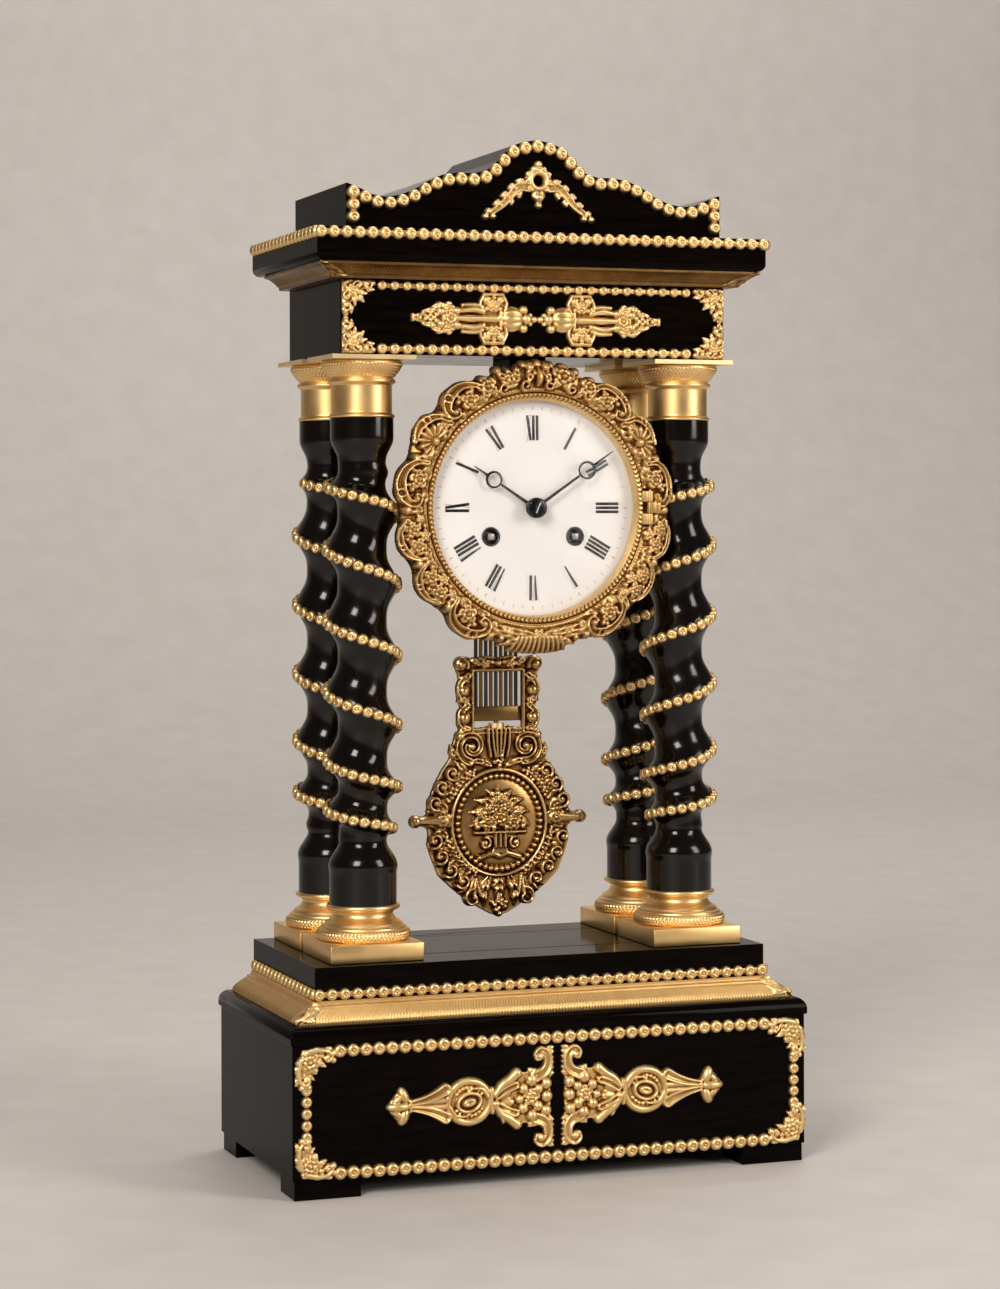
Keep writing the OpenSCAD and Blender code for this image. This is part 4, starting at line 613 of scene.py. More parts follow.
def polished(name, colour, rough, stretch=(1, 1, 1), metal=1.0):
    """Brushed or polished metal of the movement, the pendulum's rods and the hands."""
    f = Finish(name)
    line = f.noise(700, 4, stretch)
    f.put(Base_Color=shaded(f, 70, 4, colour, 0.72), Roughness=f.span(line, rough - 0.06, rough + 0.16))
    f.put(Metallic=metal)
    f.bump(line, 0.15, 0.04)
    return f.material


def painted(name, colour):
    """Matt vitreous paint."""
    f = Finish(name)
    f.put(Base_Color=shaded(f, 300, 3, colour, 0.8), Roughness=f.span(f.noise(200, 3), 0.25, 0.45))
    f.bump(f.noise(500, 2), 0.05, 0.02)
    return f.material


def enamel_finish():
    """White fired enamel with a faint bloom."""
    f = Finish("enamel")
    white = f.ramp(f.noise(40, 3), (0.3, (0.78, 0.762, 0.748)), (0.7, (0.83, 0.812, 0.798)))
    f.put(Base_Color=white, Roughness=f.span(f.noise(120, 4), 0.1, 0.22))
    f.put(Coat_Weight=0.4, Coat_Roughness=0.04)
    f.bump(f.noise(30, 2), 0.06, 0.1)
    return f.material


def glass_finish():
    """Thin clear glass that lets the dial and its shadows show through."""
    f = Finish("glass")
    f.put(Base_Color=(1, 1, 1, 1), IOR=1.45, Transmission_Weight=1.0, Alpha=0.06)
    f.put(Roughness=f.span(f.noise(50, 3), 0.01, 0.05))
    f.bump(f.noise(18, 2), 0.03, 0.05)
    return f.material


# In each set of gilt colours the low one paints shade in recesses and the high one paints highlight on
# crowns.
LOW_GOLD, GOLD, HIGH_GOLD = (0.12, 0.045, 0.010), (0.69, 0.435, 0.165), (0.88, 0.67, 0.34)
RING_GILT = gilding("ring_gilt", LOW_GOLD, GOLD, HIGH_GOLD, 0.42, (1, 8, 1))
BOX_LACQUER = lacquer("box_lacquer", (0.12, 1, 1), 0.03, 0.06)
TURNED_LACQUER = lacquer("turned_lacquer", (1, 1, 0.15), 0.36, 0.1)
CAST_GILT = gilding("cast_gilt", LOW_GOLD, GOLD, HIGH_GOLD, 0.4)
TURNED_GOLD, TURNED_SHINE = (0.84, 0.55, 0.225), (0.95, 0.75, 0.41)
TURNED_GILT = gilding("turned_gilt", LOW_GOLD, TURNED_GOLD, TURNED_SHINE, 0.36, (0.06, 0.06, 6))
CARVED_LOW, CARVED_GOLD, CARVED_HIGH = (0.15, 0.064, 0.016), (0.47, 0.275, 0.095), (0.77, 0.54, 0.255)
CARVED_GILT = gilding("carved_gilt", CARVED_LOW, CARVED_GOLD, CARVED_HIGH, 0.42)
DULL_GILT = gilding("dull_gilt", (0.035, 0.013, 0.003), (0.29, 0.15, 0.045), (0.76, 0.53, 0.25), 0.28)
# A darker copy of the gilt for the cornice moulding: painted shade under the cornice and a painted dark
# reflection of the room.
SHADOW_PAINTED_GILT = gilding("shadow_painted_gilt", (0.03, 0.012, 0.003), (0.15, 0.078, 0.026), (0.42, 0.26, 0.1), 0.36)
MOVEMENT_BRASS = polished("movement_brass", (0.62, 0.42, 0.16), 0.26, (0.1, 1, 1))
ROD_STEEL = polished("rod_steel", (0.085, 0.07, 0.055), 0.28, (1, 1, 0.1))
ROD_BRASS = polished("rod_brass", (0.22, 0.13, 0.05), 0.28, (1, 1, 0.1))
STEEL = polished("steel", (0.42, 0.42, 0.43), 0.25, (1, 1, 0.1))
SQUARE_STEEL = polished("square_steel", (0.50, 0.48, 0.46), 0.38)
BLUED = polished("blued", (0.012, 0.012, 0.016), 0.22, metal=0.7)
ENAMEL = enamel_finish()
GLASS = glass_finish()

BASE_ROW, BASE_STRIP = 103.4, 106.0
FRIEZE_ROW, FRIEZE_STRIP = 75.2, 77.0
SIDE_ROW_X, SIDE_ROW_REACH = 118.8, 10.4
SIDE_BEAD_R, SIDE_BEAD_PITCH = 2.6, 5.2
STRIP_THICK, STRIP_RISE = 0.8, 1.2
STRIP_SHORT, ROW_SHORT = 3, 2.6


def gilt_piece(shape, name, node, finish=CAST_GILT, sharp=None):
    """Builds a gilt piece of the case that stands for one CAD node."""
    shape.build(name, "case", finish, "gilt_brass", [node], sharp)


def front_row(shape, radius, reach, half, front, z, thick=STRIP_THICK, rise=STRIP_RISE):
    """A front row of beads on its thin strip."""
    add_beads(shape, radius, bead_line((-reach, front, z), (reach, front, z)))
    shape.add(block((-half, front - thick, z - rise), (half, front, z + rise), STRIP_EDGE))


def round_row(name, node, radius, half, front, back, z):
    """Rows of beads round the front and both sides of a block."""
    shape = Shape()
    front_row(shape, radius, half - BEAD_SEAT, half, front, z)
    for facing, x in (("left", -half), ("right", half)):
        add_beads(shape, radius, bead_line((x, front + BEAD_SEAT, z), (x, back - ROW_SHORT, z)), facing)
        inner, outer = sorted((x, x + math.copysign(STRIP_THICK, x)))
        shape.add(block((inner, front, z - STRIP_RISE), (outer, back, z + STRIP_RISE), STRIP_EDGE))
    gilt_piece(shape, name, node)


def bead_rows():
    """Stamped bead rows on base, plinth, frieze and cornice."""
    base = Shape()
    for z in (BASE_LOW + BEAD_INSET, BASE_HIGH - BEAD_INSET):
        front_row(base, BEAD_R, BASE_ROW, BASE_STRIP, BASE_FRONT, z)
    for x in (-SIDE_ROW_X, SIDE_ROW_X):
        ends = [(x, BASE_FRONT, BASE_MID + s * SIDE_ROW_REACH) for s in (-1, 1)]
        add_beads(base, SIDE_BEAD_R, bead_line(*ends, SIDE_BEAD_PITCH))
    gilt_piece(base, "base_bead_rows", "base_beads")
    plinth = PLINTH_HALF, PLINTH_FRONT, PLINTH_BACK - STRIP_SHORT, PLINTH_BEADS
    round_row("plinth_bead_rows", "plinth_beads", 2.75, *plinth)
    frieze = Shape()
    for z, radius in ((FRIEZE_LOW + 2.7, 2.6), (CORNICE_TRIM_LOW - 2.7, 2.4)):
        front_row(frieze, radius, FRIEZE_ROW, FRIEZE_STRIP, FRIEZE_FRONT, z, 0.6, 1.1)
    gilt_piece(frieze, "frieze_bead_rows", "frieze_beads")
    cornice = CORNICE_HALF, CORNICE_FRONT, CORNICE_BACK - STRIP_SHORT, CORNICE_BEADS
    round_row("cornice_bead_rows", "cornice_beads", 2.8, *cornice)


CREST_OUTLINE = np.array(
    [(0, 1), (0.074, 0.973), (0.139, 0.921), (0.207, 0.766), (0.264, 0.667), (0.332, 0.626)]
    + [(0.41, 0.63), (0.498, 0.599), (0.576, 0.528), (0.644, 0.438), (0.713, 0.379)]
    + [(0.792, 0.349), (0.863, 0.37), (0.921, 0.424), (0.965, 0.455)]
)
CREST_HIGH = 44.1
END_BEADS_X, END_BEADS_PITCH = 89.2, 5.6


def pediment_bead_row():
    """Beads that follow the pediment's crest, with two more down each end."""
    right = bowed(CREST_OUTLINE * (PEDIMENT_HALF, CREST_HIGH), 140)
    line = np.concatenate([right[:0:-1] * (-1, 1), right]) - (0, BEAD_INSET)
    run = run_along(line)
    at = np.linspace(0, run[-1], round(run[-1] / BEAD_PITCH) + 1)
    x, z = np.interp(at, run, line[:, 0]), np.interp(at, run, line[:, 1]) + PEDIMENT_LOW
    places = [(a, PEDIMENT_FRONT, b) for a, b in zip(x, z)]
    for side in (-1, 1):
        places += [(side * END_BEADS_X, PEDIMENT_FRONT, z[0] - END_BEADS_PITCH * i) for i in (1, 2)]
    shape = Shape()
    add_beads(shape, BEAD_R, places)
    gilt_piece(shape, "pediment_bead_row", "pediment_beads")


# Levels on a shaft where the crest comes round to the front, one turn apart.
CREST_LEVELS = np.array([22.0, 38.4, 58.3, 89.4, 121.8, 154.9, 187.6, 205.0])
CREST_TURNS = np.array([5.0, 4, 3, 2, 1, 0, -1, -2]) * 360
CREST_FACING = -107.4
FOOT_PROFILE = [(0, 15.6), (14.8, 15.6), (16.6, 16.0), (18, 16.1), (20.8, 15.3), (23.6, 13.4), (26.3, 11.6)]
TWIST_PROFILE = [(28, 10.9), (41, 13.4), (189, 13.4), (202, 10.9)]
HEAD_PROFILE = [(206, 11.5), (209, 13.1), (211.9, 14.5), (213.5, 14.7), (223.1, 14.7)]
COLUMNS = {
    "front_left": (-1, COLUMN_FRONT, 0.0),
    "rear_left": (-1, COLUMN_REAR, 67.0),
    "front_right": (1, COLUMN_FRONT, 50.0),
    "rear_right": (1, COLUMN_REAR, 110.0),
}
SHAFT_SIDES, TWIST = 96, 2.6
SWELL_FROM, SWELL_TO, SWELL_EASE = 27, 203, 13
CREST_FROM, CREST_TO = 33.0, 193.5
CREST_BEAD, CREST_PITCH, CREST_SUNK = 2.6, 5.05, 0.25


def crest_turn(z):
    """The crest's direction at a level, in degrees, eased from turn to turn."""
    spread = np.linspace(-7, 7, 15)[:, None]
    return CREST_FACING + np.interp(np.ravel(z)[None, :] + spread, CREST_LEVELS, CREST_TURNS).mean(0)


def shaft_mean(z):
    """Radius of a shaft without its twist."""
    levels, radii = np.array(FOOT_PROFILE + TWIST_PROFILE + HEAD_PROFILE).T
    spread = np.linspace(-1.2, 1.2, 7)[:, None]
    return np.interp(np.clip(np.ravel(z)[None, :] + spread, 0, SHAFT_LENGTH), levels, radii).mean(0)


def swell(z):
    """How far the twist stands out at a level, from none at the ends to full."""
    rise = between(np.ravel(z), SWELL_FROM, SWELL_TO, SWELL_EASE)
    return rise * rise * (3 - 2 * rise)


def twisted_wood():
    """One shaft about its own axis."""
    z = np.linspace(0, SHAFT_LENGTH, 300)
    turn = np.linspace(0, 360, SHAFT_SIDES, endpoint=False)
    a = np.radians(turn[None, :] - crest_turn(z)[:, None])
    r = shaft_mean(z)[:, None] + TWIST * swell(z)[:, None] * (np.cos(a) + 0.2 * np.cos(2 * a))
    phi = np.radians(turn)[None, :]
    wall = np.stack([r * np.cos(phi), r * np.sin(phi), z[:, None] + 0 * phi], axis=-1)
    return wall.reshape(-1, 3), grid_faces(len(z), SHAFT_SIDES, wrap=True)


def crest_beads():
    """Beads along the crest of one shaft, with their painted shading values."""
    level = np.linspace(CREST_FROM, CREST_TO, 2400)
    crest = np.radians(crest_turn(level))
    reach = shaft_mean(level) + 1.2 * TWIST * swell(level)
    line = np.stack([reach * np.cos(crest), reach * np.sin(crest), level], axis=-1)
    run = run_along(line)
    at = np.interp(np.arange(0, run[-1], CREST_PITCH), run, np.arange(len(run)))
    pick = np.round(at).astype(int)
    x, y = np.cos(crest[pick]), np.sin(crest[pick])
    out, side = np.stack([x, y, 0 * x], axis=-1), np.stack([-y, x, 0 * x], axis=-1)
    turns = np.stack([side, np.cross(out, side), out], axis=-1)
    return scattered(bead(CREST_BEAD), line[pick] - CREST_SUNK * out, turns), bead_recess(len(pick))


def column_shafts():
    """Twisted shafts, with a line of beads along each crest."""
    # dark holds the crest beads' painted shade and painted highlight.
    wood, (beads, dark) = twisted_wood(), crest_beads()
    trail = Shape()
    for name, (side, y, phase) in COLUMNS.items():
        p = math.radians(phase)
        spin = np.array([[math.cos(p), -math.sin(p), 0], [math.sin(p), math.cos(p), 0], [0, 0, 1]])
        shaft = Shape()
        for target, (points, faces), recess in ((shaft, wood, None), (trail, beads, dark)):
            form = points @ spin.T, faces
            form = mirrored(form) if side > 0 else form
            target.add(placed(form, (side * COLUMN_X, y, SHAFT_LOW)), recess)
        shaft.build("twisted_" + name, "case", TURNED_LACQUER, "ebonised_wood", ["shaft_" + name])
    gilt_piece(trail, "crest_bead_lines", "crest_beads")


BASE_PROFILE = [(3, 0), (20.6, 0), (21.5, 1.2), (21.7, 2.4), (21.4, 3.8), (20.6, 5), (19.7, 5.3)]
BASE_PROFILE += [(19.6, 6.2), (18.4, 6.6), (17.6, 8), (15.4, 9.3), (14.1, 10.8), (13.7, 12.2)]
BASE_PROFILE += [(14.5, 13.3), (15.6, 13.6), (15.7, 14), (16.9, 14.3), (17.1, 15.2), (16.6, 16.2), (3, 16.2)]
CAPITAL_PROFILE = [(3, 0), (15, 0), (15.4, 0.8), (14.8, 1.6), (14, 2.1), (14, 15), (14.7, 15.5)]
CAPITAL_PROFILE += [(15.7, 16.2), (15.7, 17.3), (14.5, 18), (14.8, 18.6), (16.2, 20.3), (17.8, 22.4)]
CAPITAL_PROFILE += [(18.7, 24.2), (18.8, 25.4), (18, 26.3), (3, 26.3)]
SQUARE_HALF, SQUARE_HIGH = 22.25, 8.4
KNURL_SLOPE, KNURL_DEPTH = 2.6, 0.34


def knurl(low, high, teeth):
    """Crossed diagonal cuts between two levels of a turned form."""

    def ripple(turn, z):
        cut = np.cos(teeth * turn + KNURL_SLOPE * z) + np.cos(teeth * turn - KNURL_SLOPE * z)
        return 0.5 * KNURL_DEPTH * between(z, low, high, 0.5) * cut

    return ripple


def filled(profile, step):
    """A profile with points no further apart than a step."""
    out = [profile[0]]
    for a, b in zip(profile[:-1], profile[1:]):
        parts = max(1, int(np.linalg.norm(b - a) / step))
        out += [a + (b - a) * i / parts for i in range(1, parts + 1)]
    return np.array(out)


def column_ends():
    """Turned bases on square plinths, and capitals under their square plates."""
    foot = lathe(filled(eased(BASE_PROFILE, 0.5), 0.45), 440, knurl(0.3, 5.0, 74))
    top = lathe(filled(eased(CAPITAL_PROFILE, 0.4), 0.45), 440, knurl(18.4, 25.2, 66))
    bases, capitals = Shape(), Shape()
    for side, y, _ in COLUMNS.values():
        at = np.array([side * COLUMN_X, y, COLUMN_LOW])
        bases.add(block(at - (SQUARE_HALF, SQUARE_HALF, 0), at + (SQUARE_HALF, SQUARE_HALF, SQUARE_HIGH)))
        bases.add(placed(foot, at + (0, 0, SQUARE_HIGH)))
        capitals.add(placed(top, (side * COLUMN_X, y, SHAFT_LOW + SHAFT_LENGTH)))
    gilt_piece(bases, "turned_bases", "column_bases", TURNED_GILT, 50)
    gilt_piece(capitals, "turned_capitals", "capitals", TURNED_GILT, 50)


# Profiles of the mouldings: a share of the reach outward, and a height.
PLINTH_TRIM = [(1, 0), (1, 0.7), (0.96, 1.7), (0.86, 2.8), (0.7, 3.9), (0.52, 5), (0.38, 5.9), (0.3, 6.3)]
PLINTH_TRIM += [(0.3, 7), (0.18, 7.3), (0.1, 8), (0.1, 9.3), (0, 9.3)]
CORNICE_TRIM = [(0, 0), (0.4, 0), (0.42, 0.7), (0.42, 1.4), (0.49, 1.9), (0.56, 2.8), (0.7, 4.2)]
CORNICE_TRIM += [(0.84, 5.2), (0.92, 5.5), (0.99, 5.7), (1, 6), (1, 7), (0.2, 7)]
RIB_DEPTH, RIB_PITCH, RIB_STEP = 0.17, 1.35, 0.3
TRIM_REACH, TRIM_EASE, TRIM_STEP = 10, 0.08, 0.6


def trim(half, front, back, profile, outs, low, zone):
    """A mitred moulding round the front and both sides, ribbed across a zone of its height."""
    profile = filled(eased(profile, TRIM_EASE, 2) * (TRIM_REACH, 1), TRIM_STEP) / (TRIM_REACH, 1)
    out, z = profile[:, :1], profile[:, 1:2]
    rib = RIB_DEPTH * between(z, *zone, 0.4)
    wide, ahead = half + outs[0] * out, front - outs[1] * out
    t = np.linspace(-1, 1, int(2 * half / RIB_STEP))[None, :]
    wave = rib * np.cos(2 * np.pi * half * t / RIB_PITCH)
    run = np.stack([wide * t, ahead - wave, low + z + 0 * t], axis=-1)
    shape = Shape((run.reshape(-1, 3), grid_faces(len(z), t.size)))
    t = np.linspace(0, 1, int((back - front) / RIB_STEP))[None, :]
    wave = rib * np.cos(2 * np.pi * (back - front) * t / RIB_PITCH)
    run = np.stack([wide + wave + 0 * t, ahead + (back - ahead) * t, low + z + 0 * t], axis=-1)
    side = run.reshape(-1, 3), grid_faces(len(z), t.size)
    shape.add(side)
    shape.add(mirrored(side))
    return shape


def mitre_leaf(half, front, profile, outs, low, reach, height):
    """A leaf bent over a moulding's front mitre, for the right side."""
    profile = np.array(profile)
    leaf = Relief((-reach, 0), (reach, height), 0.25, 0.15)
    leaf.leaf((0, height * 0.98), (0, 0.1), reach * 1.2, 1.9, 0, 3)
    for s in (-1, 1):
        leaf.leaf((0, height * 0.95), (s * reach * 0.95, height * 0.12), reach * 0.7, 1.7, -s * 0.12, 3)
    (points, faces), recess = leaf.form((0, 0, 0), 0.2)
    v, h, z = points[:, 0], -points[:, 1], points[:, 2]
    order = np.argsort(profile[:, 1], kind="stable")
    out = np.interp(z, profile[order, 1], profile[order, 0])
    x = half + outs[0] * out + h - np.clip(v, 0, None)
    y = front - outs[1] * out - h + np.clip(-v, 0, None)
    return (np.stack([x, y, low + z], axis=-1), faces), recess


def moulding(name, node, finish, walls, profile, outs, low, zone, leaf):
    """One ribbed brass moulding round three walls, with a leaf on each front mitre."""
    shape = trim(*walls, profile, outs, low, zone)
    form, recess = mitre_leaf(*walls[:2], profile, outs, low, *leaf)
    shape.add(form, recess)
    shape.add(mirrored(form), recess)
    gilt_piece(shape, name, node, finish, 55)


def mouldings():
    """The ribbed mouldings round the plinth's foot and under the cornice."""
    walls, plan = (PLINTH_HALF, PLINTH_FRONT, PLINTH_BACK), (PLINTH_TRIM, (10.4, 6.6), TRIM_LOW, (0.4, 6))
    moulding("plinth_trim", "plinth_moulding", CAST_GILT, walls, *plan, (9, 9.2))
    # The cornice moulding takes the darker gilt copy with painted shade.
    walls, outs = (FRIEZE_HALF, FRIEZE_FRONT, FRIEZE_BACK), (12.4, 12.4)
    plan = CORNICE_TRIM, outs, CORNICE_TRIM_LOW, (1.6, 5.6)
    moulding("cornice_trim", "cornice_moulding", SHADOW_PAINTED_GILT, walls, *plan, (8, 7))


DIAL_R, DIAL_RISE = 51.6, 1.0


def dial_depth(r):
    """How far forward the enamel lies at a radius."""
    return DIAL_FRONT - DIAL_RISE * (1 - (r / DIAL_R) ** 2)


def on_dial(x, z, lift):
    """Points laid on the enamel's dome, lifted a little off it."""
    return np.stack([x, dial_depth(np.hypot(x, z)) - lift, DIAL_Z + z], axis=-1)


def bar(a, b, w0, w1, parts=6):
    """A flat stroke from a to b, as a strip of points across and along."""
    a, b = np.asarray(a, float), np.asarray(b, float)
    across = np.array([-(b - a)[1], (b - a)[0]]) / np.linalg.norm(b - a)
    t = np.linspace(0, 1, parts + 1)[:, None]
    middle, w = a + (b - a) * t, 0.5 * (w0 + (w1 - w0) * t)
    return np.stack([middle + across * w, middle - across * w], axis=1)


NUMERALS = ["XII", "I", "II", "III", "IIII", "V", "VI", "VII", "VIII", "IX", "X", "XI"]
NUMERAL_HIGH = 11.5
THICK, THIN = 1.34, 0.14
WIDTHS = {"I": 1.88, "V": 2.4, "X": 2.6}
NUMERAL_R, MINUTE_R = 37.2, 46.4
MINUTE_HALF, HOUR_WIDE, MINUTE_WIDE = 0.9, 0.42, 0.26
WINDING_X, WINDING_DROP = 20.85, 13.3
COLLAR = [(4.5, -0.02), (4.5, 0.2), (4.2, 0.55), (3.6, 0.55), (3.3, 0.25), (3.3, -1.6)]

# Strokes of each letter in shares of its half width and half height, and where its serifs lie.
STROKES = {
    "I": [((0, -1), (0, 1), THICK, THICK)],
    "V": [((-1, 1), (0, -1), THICK, 0.7), ((1, 1), (0, -1), THIN, THIN)],
    "X": [((-1, 1), (1, -1), THICK, THICK), ((1, 1), (-1, -1), THIN, THIN)],
}
SERIFS = {"I": [(0, 1), (0, -1)], "V": [(-1, 1), (1, 1)], "X": [(-1, -1), (-1, 1), (1, -1), (1, 1)]}
SERIF_HALF, SERIF_WIDE, LETTER_GAP = 0.7, 0.1, 0.5


def numeral(word):
    """Strokes of one Roman numeral, upright and centred."""
    strokes, x = [], -0.5 * sum(WIDTHS[c] for c in word)
    for c in word:
        middle = np.array([x + WIDTHS[c] / 2, 0])
        reach = np.array([WIDTHS[c] / 2 - LETTER_GAP, NUMERAL_HIGH / 2])
        strokes += [bar(middle + a * reach, middle + b * reach, w0, w1) for a, b, w0, w1 in STROKES[c]]
        for end in SERIFS[c]:
            left, right = (middle + end * reach + (s * SERIF_HALF, 0) for s in (-1, 1))
            strokes.append(bar(left, right, SERIF_WIDE, SERIF_WIDE, 2))
        x += WIDTHS[c]
    return strokes


def clock_axes(angle):
    """Directions along and out from the rim of the dial, at a clock angle."""
    a = math.radians(angle)
    return np.array([math.cos(a), -math.sin(a)]), np.array([math.sin(a), math.cos(a)])


def paint(shape, strip, angle, radius, lift):
    """Lays a flat stroke on the enamel at a clock angle and a radius."""
    along, out = clock_axes(angle)
    flat = strip[..., :1] * along + (strip[..., 1:] + radius) * out
    points = on_dial(flat[..., 0], flat[..., 1], lift).reshape(-1, 3)
    shape.add((points, grid_faces(len(strip), 2)))


def dial_marks():
    """Painted numerals, minute strokes, black collars of the winding holes and the winding squares."""
    black, grey, collars = Shape(), Shape(), Shape()
    for hour, word in enumerate(NUMERALS):
        for strip in numeral(word):
            paint(black, strip, 30 * hour, NUMERAL_R, 0.06)
    for minute in range(60):
        width = MINUTE_WIDE if minute % 5 else HOUR_WIDE
        strip = bar((0, -MINUTE_HALF), (0, MINUTE_HALF), width, width, 2)
        paint(grey, strip, 6 * minute, MINUTE_R, 0.05)
    ink = painted("numeral_black", (0.004, 0.0035, 0.0035))
    black.build("numerals", "case", ink, "enamel")
    grey.build("minute_strokes", "case", painted("minute_grey", (0.30, 0.30, 0.31)), "enamel")
    for x in (-WINDING_X, WINDING_X):
        at = (x, dial_depth(np.hypot(x, WINDING_DROP)), DIAL_Z - WINDING_DROP)
        collars.add(placed(lathe(COLLAR, 48), at, "front"))
    collars.build("winding_collars", "case", ink, "blued_steel")
    for body, x in (("going_winding", WINDING_X), ("strike_winding", -WINDING_X)):
        middle, half = np.array([x, DIAL_FRONT - 0.9, DIAL_Z - WINDING_DROP]), (1.5, 0.6, 1.5)
        Shape(block(middle - half, middle + half, 0.35)).build(body + "_square", body, SQUARE_STEEL, "steel")


OVAL = (43.0, 0.0)


def base_mount():
    """Right half of the base ornament: hooks, fruit, acanthus, oval cartouche, two flutes and a bud."""
    r = Relief((0, -25.5), (84, 25.5), 0.28, 0.9)
    plate = [(3.4, 9), (12, 11), (19, 11.6), (25, 8.4), (29, 5.4), (34, 6), (54, 5.6), (62, 3.2), (71, 1.8)]
    bud = [(70.4, 1.8), (72.2, 6.4), (74, 8.4), (76, 7.2), (79.4, 3.4), (82.2, 0)]
    r.sheet(both_sides(plate, (1, -1)), 0.2)
    r.sheet(both_sides(bud, (1, -1)), 0.9)
    hook = [(11, 9.5), (6.6, 11.5), (4.8, 15), (5.2, 19), (7.8, 21.2), (10, 20), (9.8, 18)]
    r.stroke(bowed(hook), 5.8, 3, 2.2, "hollow")
    for z in (9.6, 12, 14.4, 16.8, 19.2, 21.2):
        r.leaf((5.6, z), (1.7, z + 1.4), 2.6, 1.4)
    r.leaf((8, 10), (14.5, 13.4), 5, 1.9, -0.1)
    r.stroke(oval(OVAL, 10, 9.2), 3.2, 3.2, 2.1)
    for a in np.radians(range(35, 150, 16)):
        r.dome((OVAL[0] + 7.2 * math.cos(a), 6.6 * math.sin(a)), 0.95, 2)
    flute = [(54.2, 6.4), (57.4, 4.8), (61.6, 3.2), (66, 2.1), (70.4, 1.5)]
    r.stroke(bowed(flute), 5.8, 2, 2.6, "hollow")
    r.stroke([(53.6, 1.6), (62, 1.2), (70.4, 0.5)], 3.4, 1.4, 2)
    r.stroke([(70.8, 0), (70.8, 2.4)], 2, 1.8, 2.6)
    many(r.dome, (8.6, 18.6, 1.9, 2.8), (*OVAL, 11, 1, 1.06), (74, 4.6, 2.5, 3, 1.75, 66))
    many(r.dome, (77, 3.2, 1.9, 2.6, 1.9, -42), (76.2, 0, 2.3, 3.6, 2.6))
    r.flip()
    fruit = [(5.8, 6.2, 2.7), (12.8, 8, 2.9), (5.6, 0.4, 2.8), (9.6, 4, 2.4), (9.8, -3.8, 2.6)]
    fruit += [(6, -6, 2.7), (17, -4.4, 2.6), (12.6, -8, 2.8), (16.8, 4.4, 2.5), (18.8, -0.2, 2.2)]
    for x, z, size in fruit:
        many(r.dome, (x, z, size, 2.9), (x + 0.3, z + 0.3, 0.5, 3.2))
    r.rose((13, 0.4), 4.4, 3.8, 5, 25)
    r.shell((32, -1.6), 11, 2.6, 178, 62, 4)
    for s in (-1, 1):
        r.stroke(bowed([(30.6, 2.6 * s), (27.4, 6.6 * s), (23.6, 8.8 * s), (20, 11.6 * s)]), 3.4, 4.8, 2.9)
        r.stroke(bowed([(29.6, 1.6 * s), (25.4, 4.4 * s), (20.8, 6.2 * s)]), 2.6, 3.8, 3, "hollow")
    r.stroke([(32, -5.2), (32.4, 0), (32, 5.2)], 2.3, 2.3, 2.6)
    r.dome((30.2, -1.6), 2.2, 3.2)
    r.stroke(oval(OVAL, 5.6, 4, -14), 2.1, 2.1, 2.7)
    r.stroke(oval(OVAL, 2.2, 1, -14), 2.6, 2.6, 2.9)
    r.stroke(bowed([(34.2, 2), (36.6, 5.4), (40.4, 6.2), (43.5, 5.2)]), 2, 1.2, 2.4)
    r.stroke(bowed([(51.8, -2), (49.4, -5.4), (45.6, -6.2), (42.5, -5.2)]), 2, 1.2, 2.4)
    r.fill_gaps(1.1, 0.2)
    return r


